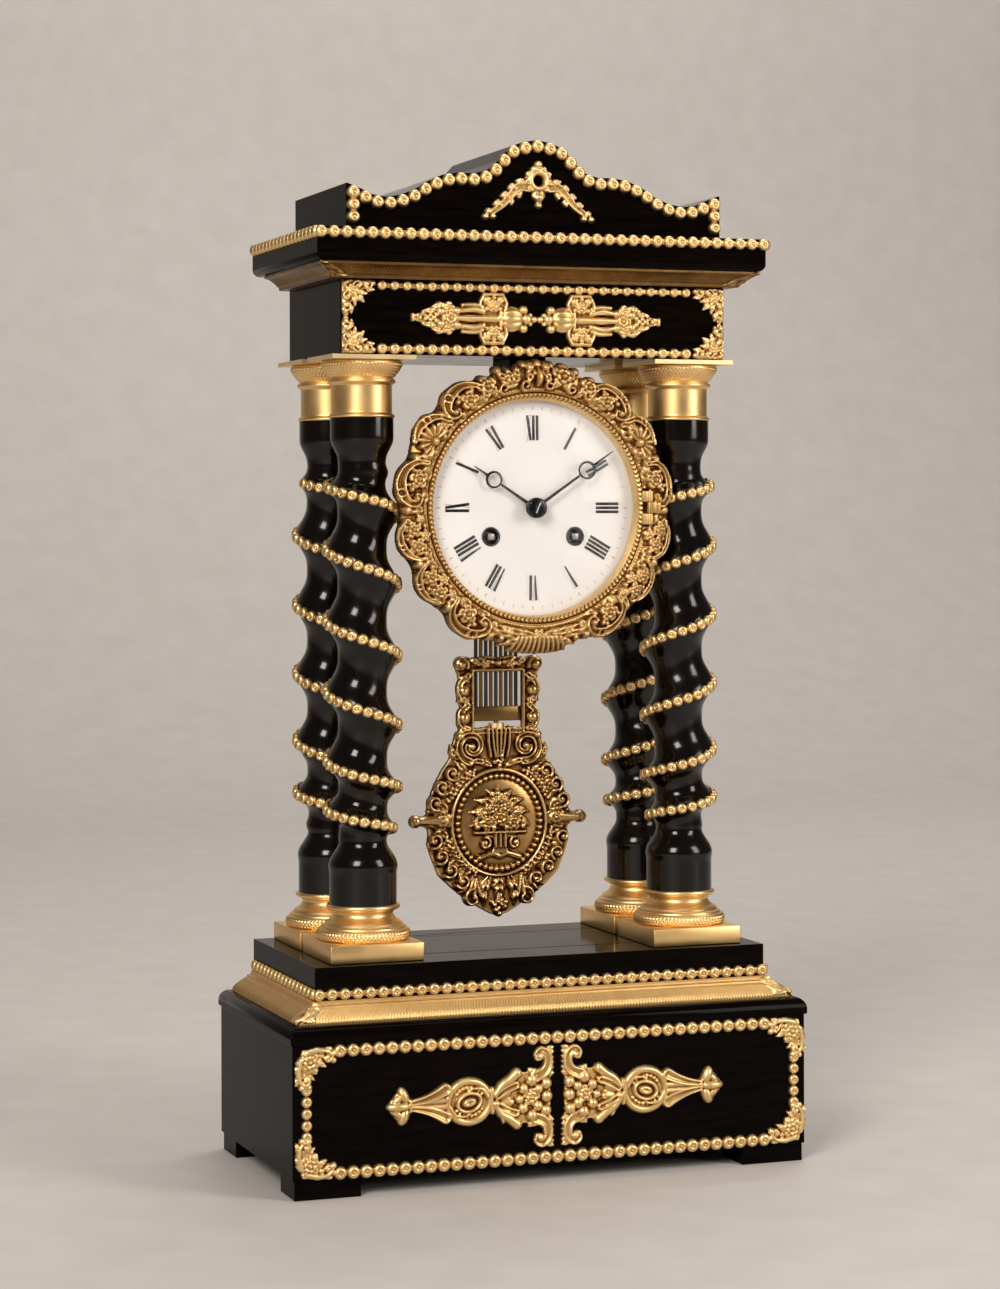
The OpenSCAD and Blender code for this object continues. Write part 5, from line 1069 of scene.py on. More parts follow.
def frieze_mount():
    """Right half of the frieze ornament: beads, bulb, flower cups, reeded stem, rose and bud."""
    r = Relief((0, -13), (63, 13), 0.25, 0.9)
    many(r.dome, (1.6, 0, 1.5, 1.8), (5.4, 0, 2.5, 2.6), (6.8, 4.4, 2.1, 2.4), (3.4, 2.2, 1, 1.4))
    r.melon((12.6, 0), 5.8, 3.6, 1, 5)
    r.sheet([(17.2, 2), (14.8, 6.8), (17, 11.4), (26.4, 11.4), (28.6, 6.8), (26.2, 2)], 0.8)
    r.stroke([(18.2, 0), (18.2, 3)], 2.4, 2.4, 2.2)
    r.stroke([(17.2, 11.2), (26.2, 11.2)], 1.7, 1.7, 2.6)
    r.stroke(bowed([(17.2, 2.6), (15.2, 6.8), (17, 11)]), 1.4, 1.4, 2)
    r.stroke(bowed([(26.2, 2.6), (28.2, 6.8), (26.4, 11)]), 1.4, 1.4, 2)
    many(r.rose, (21.7, 6, 3.3, 3.6, 5, 18), (18.6, 8.6, 2.3, 3, 5, 40), (24.8, 8.6, 2.3, 3, 5, 0))
    many(r.dome, (21.7, 9.8, 1.3, 3.2), (18.4, 4.6, 1.3, 2.8), (25, 4.6, 1.3, 2.8))
    r.stroke(bowed([(20, 0), (28, 0), (40, 0)]), 3.8, 2.8, 2.2)
    r.stroke(bowed([(27, 3.4), (32, 4.4), (37.4, 3.6)]), 3.4, 2.6, 2.2)
    r.stroke(bowed([(27, 5.4), (31, 6.4), (36.6, 6.2)]), 2.2, 1.8, 1.8)
    many(r.rose, (42.6, 0, 4.4, 3.6, 6, 0), (43.6, 4.6, 3.3, 3, 5, 30))
    r.leaf((44, 5.6), (52.5, 4.2), 3.8, 2, 0.1, 2)
    r.leaf((47, 2), (56.5, 3), 3.8, 2, 0.08, 2)
    r.sheet([(47, -3.4), (47, 3.4), (55, 2.4), (60.6, 1.2), (60.6, -1.2), (55, -2.4)], 0.8)
    many(r.dome, (39.4, 3.4, 2, 2.6), (47.2, 3, 2.2, 2.6), (49.4, 1.6, 1.5, 2.5), (52.4, 1.3, 1.3, 2.5))
    many(r.dome, (55, 1, 1.1, 2.5), (57.4, 0.6, 1, 2.5), (50.8, 0, 1.4, 2.5), (53.8, 0, 1.2, 2.5))
    r.stroke([(60.8, 0), (60.8, 1.4)], 1.8, 1.6, 2.2)
    r.flip()
    r.fill_gaps(0.9, 0.2)
    return r


def pediment_mount():
    """Leafy ring with a ball on top, a drop below and two arched legs of leaves."""
    r = Relief((-29, -12), (29, 17.5), 0.25, 0.9)
    eye = (0, 7.6)
    r.stroke(spiral(eye, 3.9, 3.9, 0, 360, 50), 2.4, 2.4, 2.2)
    for a in (30, 62, -8, -44):
        r.leaf(polar(3.4, a, eye), polar(7.4, a, eye), 4.4, 2.4)
    r.leaf((0, 4.6), (0, -4.2), 6.4, 2.5, 0, 2)
    leg = [(5.4, 4.4), (10.2, 4.2), (13.8, 0.6), (17.8, -3.8), (23, -7.6)]
    r.stroke(bowed(leg), 4.8, 2.8, 2, "hollow")
    tips = [((7, 5), (11.8, 7.4)), ((11, 4), (15.6, 3.4)), ((14.4, 0), (19.2, -0.2))]
    tips += [((18, -4), (22.8, -4)), ((9, 3), (9.6, -1.4)), ((13, -1), (13.6, -4.6))]
    for start, tip in tips:
        r.leaf(start, tip, 3.6, 2.3, 0.16)
    many(r.dome, (*eye, 6.6, 0.6), (0, 14.9, 1.9, 2.4), (0, 12.4, 1.6, 2.2), (0, -4, 1.6, 2.2))
    many(r.dome, (24.6, -7.4, 1.9, 2.3), (26.2, -9.8, 1.7, 2.3), (22.6, -9.6, 1.6, 2.3))
    r.mirror()
    r.fill_gaps(0.8, 0.2)
    r.sink(eye, 2.5)
    return r


def base_corner():
    """Corner rosette with a hooked leaf along each edge, for the upper right corner."""
    r = Relief((-12.4, -12.4), (6.6, 6.6), 0.25, 0.9)
    for a in range(0, 360, 60):
        r.leaf(polar(2.8, a), polar(6.4, a), 4, 1.7)
    r.rose((0, 0), 5, 3.2, 6, 15)
    hook = bowed([(1, 4), (-3.4, 5), (-8, 4.6), (-10.4, 2.2), (-8.8, 0.2), (-7, 1.4)])
    tips = [((-4.5, 4.6), (-7, 1.4)), ((-1.5, 4.6), (-4.8, 6.4)), ((-6.5, 4.8), (-10.6, 6.2))]
    for turn in (1, -1):
        r.stroke(hook[:, ::turn], 3, 1.7, 2)
        for start, tip in [*tips, ((-3, 2), (-8.2, -2.6))]:
            r.leaf(start[::turn], tip[::turn], 3, 1.8, 0.1)
        for at in ((-8.2, 1.9), (-11, 0.4), (-11.2, 3.6)):
            r.dome(at[::turn], 1.5, 2.1)
    r.fill_gaps(0.8, 0.2)
    return r


def frieze_corner():
    """Leafy corner piece, for the upper right corner."""
    r = Relief((-14.4, -14.4), (2.2, 2.2), 0.25, 0.9)
    r.sheet([(1.6, 1.6), (-12, 1.6), (-12, -1.2), (-7, -3.2), (-3.2, -7), (-1.2, -12), (1.6, -12)], 0.4)
    r.rose((-3.0, -3.0), 3.2, 2.8, 5, 10)
    r.leaf((-2, -2), (-9.0, -8.6), 5.0, 2.0, 0, 3)
    for turn in (1, -1):
        for at, reach, start in (((-10.2, -0.4), 2.1, 160), ((-5.8, -0.6), 2.0, 20)):
            r.stroke(spiral(at, reach, 0.6, start, start + 340)[:, ::turn], 1.5, 1.0, 2.0)
            r.dome(at[::turn], 0.9, 2.4)
        for start, tip in (((-9, -1), (-14.0, -2.8)), ((-4, -2), (-10.6, -4.6)), ((-6, 0), (-12.6, 1.6))):
            r.leaf(start[::turn], tip[::turn], 3.2, 1.9, 0.1 * turn, 2)
        r.dome((-12.8, 0.2)[::turn], 1.3, 2.0)
    r.bunch((0.2, 0.2), 1.3, 3, 1.2, 2.2, 8)
    r.fill_gaps(0.7, 0.2)
    return r


def all_corners(shape, relief, x, z_mid, z_reach, front):
    """One corner ornament laid into the four corners of a panel."""
    (points, faces), recess = relief.form((0, 0, 0))
    for sx in (-1, 1):
        for sz in (-1, 1):
            turned = points * np.array([sx, 1, sz]) + np.array([sx * x, front, z_mid + sz * z_reach])
            shape.add((turned, faces if sx * sz > 0 else faces[:, ::-1]), recess)


def panel_mount(name, node, relief, front, z, paired=True):
    """One cast ornament on the middle of a panel, with its mirror image where it is a half."""
    form, recess = relief.form((0, front, z))
    shape = Shape(form, recess)
    if paired:
        shape.add(mirrored(form), recess)
    gilt_piece(shape, name, node)


FRIEZE_MID = 0.5 * (FRIEZE_LOW + CORNICE_TRIM_LOW)
PEDIMENT_EYE = 450.6
BASE_CORNER_X, BASE_CORNER_REACH = 117.6, 22.95
FRIEZE_CORNER_X, FRIEZE_CORNER_REACH = 92.6, 14.9
END_ROW_X, END_ROW_REACH, END_ROW_PITCH = 92.4, 3.6, 2.3


def flat_mounts():
    """Cast ornament on the base, frieze and pediment panels."""
    panel_mount("base_ornament", "base_mounts", base_mount(), BASE_FRONT, BASE_MID + 0.4)
    corners = Shape()
    all_corners(corners, base_corner(), BASE_CORNER_X, BASE_MID, BASE_CORNER_REACH, BASE_FRONT)
    gilt_piece(corners, "base_corner_ornament", "base_corners")
    panel_mount("frieze_ornament", "frieze_mounts", frieze_mount(), FRIEZE_FRONT, FRIEZE_MID)
    corners = Shape()
    all_corners(corners, frieze_corner(), FRIEZE_CORNER_X, FRIEZE_MID, FRIEZE_CORNER_REACH, FRIEZE_FRONT)
    for x in (-END_ROW_X, END_ROW_X):
        ends = [(x, FRIEZE_FRONT, FRIEZE_MID + s * END_ROW_REACH) for s in (-1, 1)]
        add_beads(corners, 1.4, bead_line(*ends, END_ROW_PITCH))
    gilt_piece(corners, "frieze_corner_ornament", "frieze_corners")
    panel_mount("pediment_ornament", "pediment_mount", pediment_mount(), PEDIMENT_FRONT, PEDIMENT_EYE, False)


FLANGE = -33.3 + SHIFT
HINGE_X, HINGE_Y = 55.6, -41.4 + SHIFT
HINGE_REACH = 8.7
RING_IN = 53.65
LOBES = (37, 58, 80, 103, 125, 147)
LOBE_R, CLEFT = 60.8, 11
FLAT_EDGE, LOBE_EDGE, LOBE_SWELL, LOBE_SPREAD = 64.6, 64.0, 3.4, 11.8
RING_OUT, POCKET_OUT = 69.2, 58
INNER_BEADS, INNER_STEP = 54.9, 1.6


def near(angle, radius, u=0.0, v=0.0):
    """A point by its clock angle and radius, moved u along the ring and v outward."""
    along, out = clock_axes(angle)
    return out * (radius + v) + along * u


class Lobe:
    """One lobe of the cast ring: forms at places u along the ring and v outward from its middle."""

    def __init__(self, relief, mid, side):
        self.relief, self.mid, self.side = relief, mid, side

    def at(self, u, v):
        return near(self.mid, LOBE_R, self.side * u, v)

    def dome(self, place, *values):
        self.relief.dome(self.at(*place), *values)

    def rose(self, place, *values):
        self.relief.rose(self.at(*place), *values)

    def leaf(self, start, tip, wide, bow):
        self.relief.leaf(self.at(*start), self.at(*tip), wide, 2.3, -bow * self.side, 3)

    def crescent(self, points, count, wide, h):
        """A hollow scroll, widest at its middle."""
        line = bowed([self.at(u, v) for u, v in points], count)
        half = len(line) // 2
        self.relief.stroke(line[: half + 1], 0.4 * wide, wide, h, "hollow")
        self.relief.stroke(line[half:], wide, 0.4 * wide, h, "hollow")


def scroll_lobe(lobe):
    """A broad C-scroll rim that curls in round a rose and its leaves."""
    many(lobe.leaf, (-1, -3.4, (-10.2, -6), 4.6, -0.12), (1, -4, (8.8, -6.4), 4.4, 0.12))
    lobe.leaf((-5, 0.5), (-8.8, 4.4), 3.8, 0.1)
    rim = [(-10.8, -4), (-10.2, 1.2), (-6.8, 5), (-1.2, 6.5), (4.6, 5.4), (8.4, 2), (8.4, -1.8)]
    lobe.crescent([*rim, (5.8, -3.2), (4.4, -1.4)], 48, 5.2, 4.2)
    many(lobe.rose, (-2.8, -1, 4.9, 5, 5, 20), (-8, -4.6, 2.6, 3.4, 5, 50))
    many(lobe.dome, (6.3, -1.2, 1.7, 4.8), (2.4, 1.6, 1.5, 3.6), (3.6, -4.6, 1.7, 3.6))
    many(lobe.dome, (0.6, 3.2, 1.3, 3.6), (-6.4, 2, 1.2, 3.6))


def daisy_lobe(lobe):
    """An open daisy under a smooth hood, with a leaf each side."""
    many(lobe.leaf, (-1, -3, (-9.6, -6.2), 4.8, -0.1), (1, -3, (9.8, -5.8), 4.8, 0.1))
    out = lobe.at(0, 1) - lobe.at(0, 0)
    facing = math.degrees(math.atan2(out[1], out[0]))
    lobe.relief.shell(lobe.at(1, -1.8), 8.4, 4.4, facing, 118, 9)
    lobe.crescent([(-11, -3), (-9.6, 2.6), (-5.6, 6), (0.2, 7), (6, 5.4)], 40, 4.4, 4.4)
    many(lobe.rose, (-6.6, -1.4, 3.3, 4, 5, 10), (8.4, -2.6, 2.7, 3.6, 5, 40))
    many(lobe.dome, (1, -1.8, 2.3, 4.6), (-3.4, -4.8, 1.5, 3.4), (5.2, -4.6, 1.6, 3.4))


def rose_lobe(lobe):
    """Four roses in a nest of leaves, inside a narrow rim."""
    many(lobe.leaf, (-5, -2, (-10.8, -5.4), 4.6, -0.1), (5, -3, (10.8, -5), 4.6, 0.1))
    many(lobe.leaf, (-1, 2, (2.2, 7), 4.6, 0.1), (-5, 2, (-9.6, 4.4), 4.6, -0.1))
    lobe.leaf((6, 2), (10, 3.6), 4.6, 0.1)
    lobe.crescent([(-10.6, -2), (-8.4, 3.6), (-3, 6.6), (3, 6.6), (8.4, 3.8)], 40, 3.4, 4)
    many(lobe.rose, (-4, 0.4, 4.4, 4.8, 5, 0), (4, 1, 4.2, 4.8, 5, 30), (0.2, -4, 3.2, 4.8, 5, 15))
    lobe.rose((8, -3.4), 2.6, 4.8, 5, 50)
    many(lobe.dome, (-7.8, -2.6, 1.6, 3.4), (4.6, -4.8, 1.5, 3.4))


LOBE_KINDS = (scroll_lobe, daisy_lobe, scroll_lobe, rose_lobe, rose_lobe, scroll_lobe)
TURNED_LOBE = 3


def bezel_crown(r):
    """Blossoms at the top of the cast ring: a hanging bell, a lily on its left, roses and curls."""
    for angle, radius, size in ((11.6, 62.4, 6.4), (24.4, 61.4, 5.4), (-24.4, 61.4, 5.4)):
        for s in (-1, 1):
            r.leaf(near(angle, radius - 2), near(angle + 5 * s, radius - 8), 4.8, 3.2, 0.1 * s, 2)
        r.rose(near(angle, radius), size, 5.4, 5, 90 - angle)
    for tip in (-18.2, -8.4, -13.4):
        r.leaf(near(-13.2, 56.6), near(tip, 67.2), 5.6, 5.0)
    for s in (-1, 1):
        r.leaf(near(0, 65.6), near(5.4 * s, 56.6), 5.4, 4.4, 0.14 * s)
        r.dome(near(3.4 * s, 65.8), 2.7, 5.0)
    r.dome(near(0, 67.0), 2.4, 5.2)
    r.dome(near(0, 60.6), 1.8, 6.0, 2.6, 90)
    for s in (-1, 1):
        for angle, radius in ((6, 57.0), (17, 57.4), (26, 57.6)):
            r.stroke(spiral(near(s * angle, radius), 2.6, 0.8, 90 * s, 450 * s), 1.7, 1.1, 3.4)
        r.dome(near(s * 5.8, 66.8), 2.0, 3.6)
        r.dome(near(s * 17, 66.4), 2.0, 3.6)


def bezel_foot(r):
    """Ribbed drapery at the bottom of the cast ring, with crossed laurel leaves and flowers."""
    for k in range(-5, 6):
        r.stroke([near(180, 60.0, 2.1 * k), near(180, 66.6 - 0.05 * k * k, 2.6 * k)], 2.5, 2.3, 2.6)
    for s in (-1, 1):
        r.leaf(near(180 + 2 * s, 58.6), near(180 + 21 * s, 57.4), 5.2, 3.0, 0.05 * s, 3)
        r.leaf(near(180 + 8 * s, 61.4), near(180 + 25 * s, 63.8), 5.0, 3.0, -0.08 * s, 3)
        r.leaf(near(180 + 5 * s, 62.6), near(180 + 17 * s, 66.4), 4.4, 2.8, -0.08 * s, 3)
        r.rose(near(180 + 24 * s, 60.6), 3.6, 3.4, 5, 20)
        r.dome(near(180 + 20 * s, 60.4), 1.7, 3.2)
        r.dome(near(180 + 17 * s, 63.2), 1.6, 3.0)
    r.rose(near(180, 58.8), 3.5, 3.8, 6, 0)


SECTION_R = [53.7, 55.4, 57, 60, 62.5, 65, 67, 69]
SECTION_LIFT = [4.6, 5.2, 5.9, 6.3, 5.7, 4.2, 2.4, 0.8]
THROAT = [(55, 4.4), (54.7, 5.2), (54.4, 5.5), (54, 5.4), (RING_IN, 4.9), (RING_IN, 0)]
KNUCKLE_R, KNUCKLE_LENGTH, PIN_R, PIN_LENGTH = 1.5, 5.0, 0.7, 17.0


def bezel_relief():
    """The carving of the cast ring: its lobes, crown and foot on a flat ring."""
    r = Relief((-71, -71), (71, 71), 0.3, 0.4)
    x, z = r.grid()
    d, clock = np.hypot(x, z), np.abs(np.degrees(np.arctan2(x, z)))
    edge = np.full(d.shape, FLAT_EDGE)
    for mid in LOBES:
        edge = np.maximum(edge, LOBE_EDGE + LOBE_SWELL * rounded((clock - mid) / LOBE_SPREAD))
    r.h = np.where((d > RING_IN) & (d < edge), r.floor, EMPTY)
    for s in (-1, 1):
        for i, (mid, kind) in enumerate(zip(LOBES, LOBE_KINDS)):
            kind(Lobe(r, s * mid, -s if i == TURNED_LOBE else s))
            cleft = s * (mid + CLEFT)
            r.leaf(near(cleft, 56), near(cleft, 65.6), 6.0, 3.2, 0.05 * s, 3)
            r.dome(near(cleft, 63.8), 2.1, 3.6)
    bezel_crown(r)
    bezel_foot(r)
    for angle in np.arange(0, 360, INNER_STEP):
        r.dome(near(angle, INNER_BEADS), 0.7, 0.9)
    r.fill_gaps(1.0, 0.3)
    pocket = (x > RING_IN - 2) & (x < POCKET_OUT) & (np.abs(z) < HINGE_REACH)
    r.h[(d < RING_IN) | (d > RING_OUT) | pocket] = EMPTY
    return r, np.interp(d, SECTION_R, SECTION_LIFT)


def bezel():
    """Cast ring round the dial, with its half of the door's hinge."""
    r, section = bezel_relief()
    shape = Shape(*r.form((0, FLANGE, DIAL_Z), 0.0, section, 0.0))
    points, faces = placed(lathe(eased(THROAT, 0.3), 240), (0, FLANGE, DIAL_Z), "front")
    hidden = (points[:, 0] > 0) & (np.abs(points[:, 2] - DIAL_Z) < HINGE_REACH)
    shape.add((points, faces[~hidden[faces].any(axis=1)]))
    for radius, length in ((KNUCKLE_R, KNUCKLE_LENGTH), (PIN_R, PIN_LENGTH)):
        shape.add(placed(rod(radius, length), (HINGE_X, HINGE_Y, DIAL_Z - length / 2)))
    low, high = DIAL_Z - KNUCKLE_LENGTH / 2, DIAL_Z + KNUCKLE_LENGTH / 2
    shape.add(block((HINGE_X, HINGE_Y - KNUCKLE_R, low), (POCKET_OUT + 0.4, HINGE_Y + 0.75, high), 0.2))
    shape.add(block((POCKET_OUT, HINGE_Y - KNUCKLE_R, low), (POCKET_OUT + 2.4, FLANGE - 2, high), 0.2))
    gilt_piece(shape, "cast_bezel", "surround", CARVED_GILT)


def rod(radius, length):
    """A plain turned rod that stands on its end."""
    return lathe(eased([(0.01, 0), (radius, 0), (radius, length), (0.01, length)], 0.15), 32)


DOOR_SECTION = [(53.2, 0), (53.2, 5.6), (53, 6), (52.6, 6.2), (52.2, 6), (51.4, 5.2), (51.1, 4.7)]
DOOR_SECTION += [(50.6, 4.2), (49.85, 1.2), (49.8, 0.4), (50.2, 0), (53.2, 0)]
ROPE_DEPTH, ROPE_TURNS, ROPE_LEAN = 0.6, 150, 2.6
ROPE_LOW, ROPE_EASE = 4.9, 0.4
DOOR_GAP, STRAP_IN = 0.4, 51.9


def groove(turn, height):
    """Depth of the roped edge of the door's ring, from none to full."""
    rise = np.clip((height - ROPE_LOW) / ROPE_EASE, 0, 1)
    return rise * 0.5 * (1 + np.cos(ROPE_TURNS * turn + ROPE_LEAN * height))


def rope(turn, height):
    """What the roped edge takes off the radius."""
    return -ROPE_DEPTH * groove(turn, height)


def glazed_door():
    """Ring of the hinged door: a plain sloped face round the glass, with its two hinge knuckles."""
    back = FLANGE - DOOR_GAP
    ring = lathe(filled(eased(DOOR_SECTION, 0.25), 0.3), 1200, rope)
    turn, height = np.arctan2(ring[0][:, 1], ring[0][:, 0]), ring[0][:, 2]
    # Painted shade in the grooves of the roped edge, darkest where the groove is deepest.
    shape = Shape(placed(ring, (0, back, DIAL_Z), "front"), 0.4 + 0.5 * groove(turn, height))
    for low in (DIAL_Z + 2.8, DIAL_Z - 7.8):
        high = low + KNUCKLE_LENGTH
        shape.add(placed(rod(KNUCKLE_R, KNUCKLE_LENGTH), (HINGE_X, HINGE_Y, low)))
        shape.add(block((STRAP_IN, HINGE_Y - 0.8, low), (HINGE_X, HINGE_Y + 0.8, high), 0.2))
        shape.add(block((STRAP_IN, HINGE_Y + 0.6, low), (STRAP_IN + 1.2, back - 4.8, high), 0.2))
    shape.build("sloped_door_ring", "door", RING_GILT, "gilt_brass", ["door_ring"], sharp=50)


COLLET = [(4.7, -0.1), (4.7, 0.4), (4.3, 0.8), (3.2, 1.1), (1.6, 1.25), (0.01, 1.3)]
HAND_PIN = (-1.0, -2.5), (1.1, 2.6), 0.6, 0.45
HAND_PIN_OUT, HAND_PIN_THICK = 1.2, 0.45


def hand_collet():
    """Black domed collet that holds the hands, with the bright pin through it."""
    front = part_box("minute_hand")[0][1] / MM
    cap = Shape(placed(lathe(eased(COLLET, 0.3), 48), (0, front, DIAL_Z), "front"))
    cap.build("hand_collet", "minute", BLUED, "blued_steel")
    strip = bar(*HAND_PIN, 4)
    x, z = strip[..., 0], strip[..., 1] + DIAL_Z
    under, over = (np.stack([x, front - HAND_PIN_OUT - h + 0 * x, z], axis=-1) for h in (0, HAND_PIN_THICK))
    outline = np.concatenate([under[:, :1], over[:, :1], over[:, 1:], under[:, 1:]], axis=1)
    pin = Shape((outline.reshape(-1, 3), grid_faces(len(strip), 4, wrap=True)))
    pin.build("hand_pin", "minute", STEEL, "steel")


BOB_OUTLINE = [(0, -45.4), (4.4, -44), (9, -41.5), (18.4, -35.4), (24.4, -30.6), (30.6, -24.6)]
BOB_OUTLINE += [(34.2, -15.6), (36, -10), (35.4, -5), (36.4, 1), (36, 7), (34, 14.4), (31.6, 19.6)]
BOB_OUTLINE += [(28.8, 24.8), (24.6, 30.4), (23.4, 36), (22, 41), (18, 44.4), (8, 45), (0, 45)]
MEDALLION = (0, -0.4), 21, 22.3
MEDALLION_BEADS = 46
BLOOM_RISE = 2.0


def bob_medallion(r):
    """Beaded oval with a basket of flowers on an urn."""
    x, z = r.grid()
    bowl = np.hypot(x / 20, (z + 0.4) / 21.4)
    r.h = np.where(bowl < 1, 1.4 + 2.0 * rounded(bowl), r.h)
    r.stroke(1.14 * oval(*MEDALLION, count=120), 2.2, 2.2, 2.2, base=1.4)
    for at in oval(*MEDALLION, count=MEDALLION_BEADS + 1)[1:]:
        r.dome(at, 1.4, 2.2, base=1.8)
    r.stroke([(-12.6, -5), (12.6, -5)], 2, 2, 2.8, base=3)
    r.sheet([(-10, -5), (10, -5), (4, -8), (-4, -8)], 3.2)
    r.sheet([(-3.4, -5), (3.4, -5), (3.4, -12), (4.6, -15), (-4.6, -15), (-3.4, -12)], 3.2)
    for u in (-2.4, 0, 2.4):
        r.stroke([(u, -6), (u, -12)], 1.7, 1.6, 2, base=3.6)
    foot = [(-10, -17), (-4, -15.2), (0, -16.4), (4, -15.2), (10, -17)]
    r.stroke(bowed(foot), 2.8, 2.8, 2.2, base=2.4)
    sprays = [((4, 0), (15.6, -2.6), 5.6, 0.2), ((3, 2), (15.4, 4.4), 6, 0.2)]
    sprays += [((2, 4), (12.6, 10.6), 6, 0.2), ((1, 6), (6.6, 15.4), 5.6, 0.16)]
    for s in (-1, 1):
        r.stroke(spiral((s * 7.6, -10.2), 3, 0.9, 90, 90 + s * 400), 1.8, 1.2, 2.4, base=2.8)
        r.dome((s * 7.6, -10.2), 1.5, 2.6, base=2.8)
        for (x0, z0), (x1, z1), wide, bow in sprays:
            r.leaf((s * x0, z0), (s * x1, z1), wide, 3.2, s * bow, 3, base=2.6)
    r.leaf((0, 6), (-1, 17), 6, 3.2, 0.1, 3, base=2.6)
    r.floor += BLOOM_RISE
    many(r.rose, (0, 2, 4.6, 3.8, 5, 0), (6.6, -0.4, 4.2, 3.8, 5, 20), (-6.6, -0.4, 4.2, 3.8, 5, 50))
    many(r.rose, (3.6, 7, 3.8, 3.8, 5, 35), (-4, 6.6, 3.8, 3.8, 5, 10), (9.6, 4.6, 2.8, 3.8, 5, 0))
    many(r.rose, (-10, 4.2, 2.8, 3.8, 5, 25), (0.2, 11, 3, 3.8, 5, 15))
    for s in (-1, 1):
        many(r.dome, (11.6 * s, -2.2, 1.7, 2.6), (3.2 * s, -2.6, 1.7, 2.6))
    r.floor -= BLOOM_RISE


def bob_border(r, s, draw):
    """Scrolls, berries, leaves and the side finial round one side of the bob."""

    def at(angle, radius):
        x, z = polar(radius, angle)
        return s * x, z

    for angle in range(-60, 56, 9):
        turned = angle + draw.uniform(-2.5, 2.5)
        r.leaf(at(turned, 26.2), at(turned + 4, 36.4 + draw.uniform(-0.8, 1.0)), 6.4, 3.0, 0.16 * s, 2)
    for angle in range(30, 64, 5):
        r.bunch(at(angle, 27.4), 2.2, 4, 1.4, 3.2, angle)
    for angle in range(-62, -18, 6):
        r.bunch(at(angle, 27.0), 2.0, 4, 1.35, 3.0, 90 - angle)
    for angle in (-56, -42, -28, -14, 17, 31, 45):
        turn = s if angle > 0 else -s
        r.stroke(spiral(at(angle, 33.6), 3.7, 1.0, angle - 90, angle - 90 + turn * 400), 2.5, 1.5, 3.6)
        r.dome(at(angle, 33.6), 1.6, 4.0)
    r.stroke([(s * 28, 1.0), (s * 40, 1.0)], 8.4, 4.2, 3.6)
    r.dome((s * 42, 1.0), 3.0, 3.4)
    r.rose((s * 29.0, 1.2), 5.4, 4.8, 6, 30)


def bob_ends(r, s):
    """Volutes at one shoulder and the shells, curls and leaves below."""
    r.shell((s * 11.6, -24.4), 13.0, 3.4, -90 + s * 24, 36, 4)
    r.stroke(spiral((s * 13.4, -36.4), 4.6, 1.2, 90, 90 - s * 330), 2.6, 1.5, 3.2)
    r.leaf((s * 4.4, -25), (s * 7.6, -41), 6.4, 3.4, s * 0.1, 3)
    r.stroke(spiral((s * 13.8, 36.2), 7.4, 2.4, -100, -100 + s * 450), 4.4, 2.2, 3.4, "hollow")
    r.dome((s * 13.8, 36.2), 2.0, 3.8)
    r.dome((s * 19.6, 41.2), 2.4, 3.4)
    r.leaf((s * 20, 30), (s * 24.4, 37.4), 4.4, 3.0, -s * 0.12, 3)
    r.leaf((s * 3, 26.4), (s * 18, 28.4), 4.4, 3.2, s * 0.12, 3)
    r.stroke(bowed([(s * 5.4, 44.6), (s * 5.2, 37), (s * 4.0, 31)]), 1.9, 1.4, 3.0)


def pendulum_plate(name, node, relief, z):
    """Builds a cast plate of the pendulum, with a flat back."""
    shape = Shape(*relief.form((0, PENDULUM_FRONT, z), 0.0, None, 0.0))
    shape.build(name, "pendulum", DULL_GILT, "gilt_brass", [node])


def cast_bob():
    """Bob of the pendulum, cast in one plate."""
    r = Relief((-46, -48), (46, 48), 0.28, 1.2)
    r.sheet(both_sides(BOB_OUTLINE), 0.5)
    bob_medallion(r)
    draw = np.random.default_rng(5)
    for s in (-1, 1):
        bob_border(r, s, draw)
        bob_ends(r, s)
    r.leaf((0, -24), (0, -39), 8, 3.0, 0, 4)
    r.bunch((0, -39.6), 3.8, 10, 1.6, 3.2, 2)
    r.dome((0, -44.2), 1.6, 2.6)
    for u in (-3.4, -1.2, 1.2, 3.4):
        r.stroke([(u, 44.4), (0.8 * u, 37), (0.5 * u, 31)], 1.7, 1.2, 2.8)
    r.bunch((0, 28.4), 2.2, 5, 1.4, 3.6, 17)
    r.fill_gaps(1.0, 0.4)
    pendulum_plate("cast_bob", "pendulum_bob", r, BOB_Z)


FRAME_SIDE = [(12, 2.4), (20.4, 2.4), (19.4, 6.4), (21.2, 10), (21, 13.6), (19.2, 18), (20.8, 22)]
FRAME_SIDE += [(21.4, 27), (19.8, 32), (21, 35), (22.2, 38.6), (20.6, 41.6), (17, 42.2), (12, 41)]


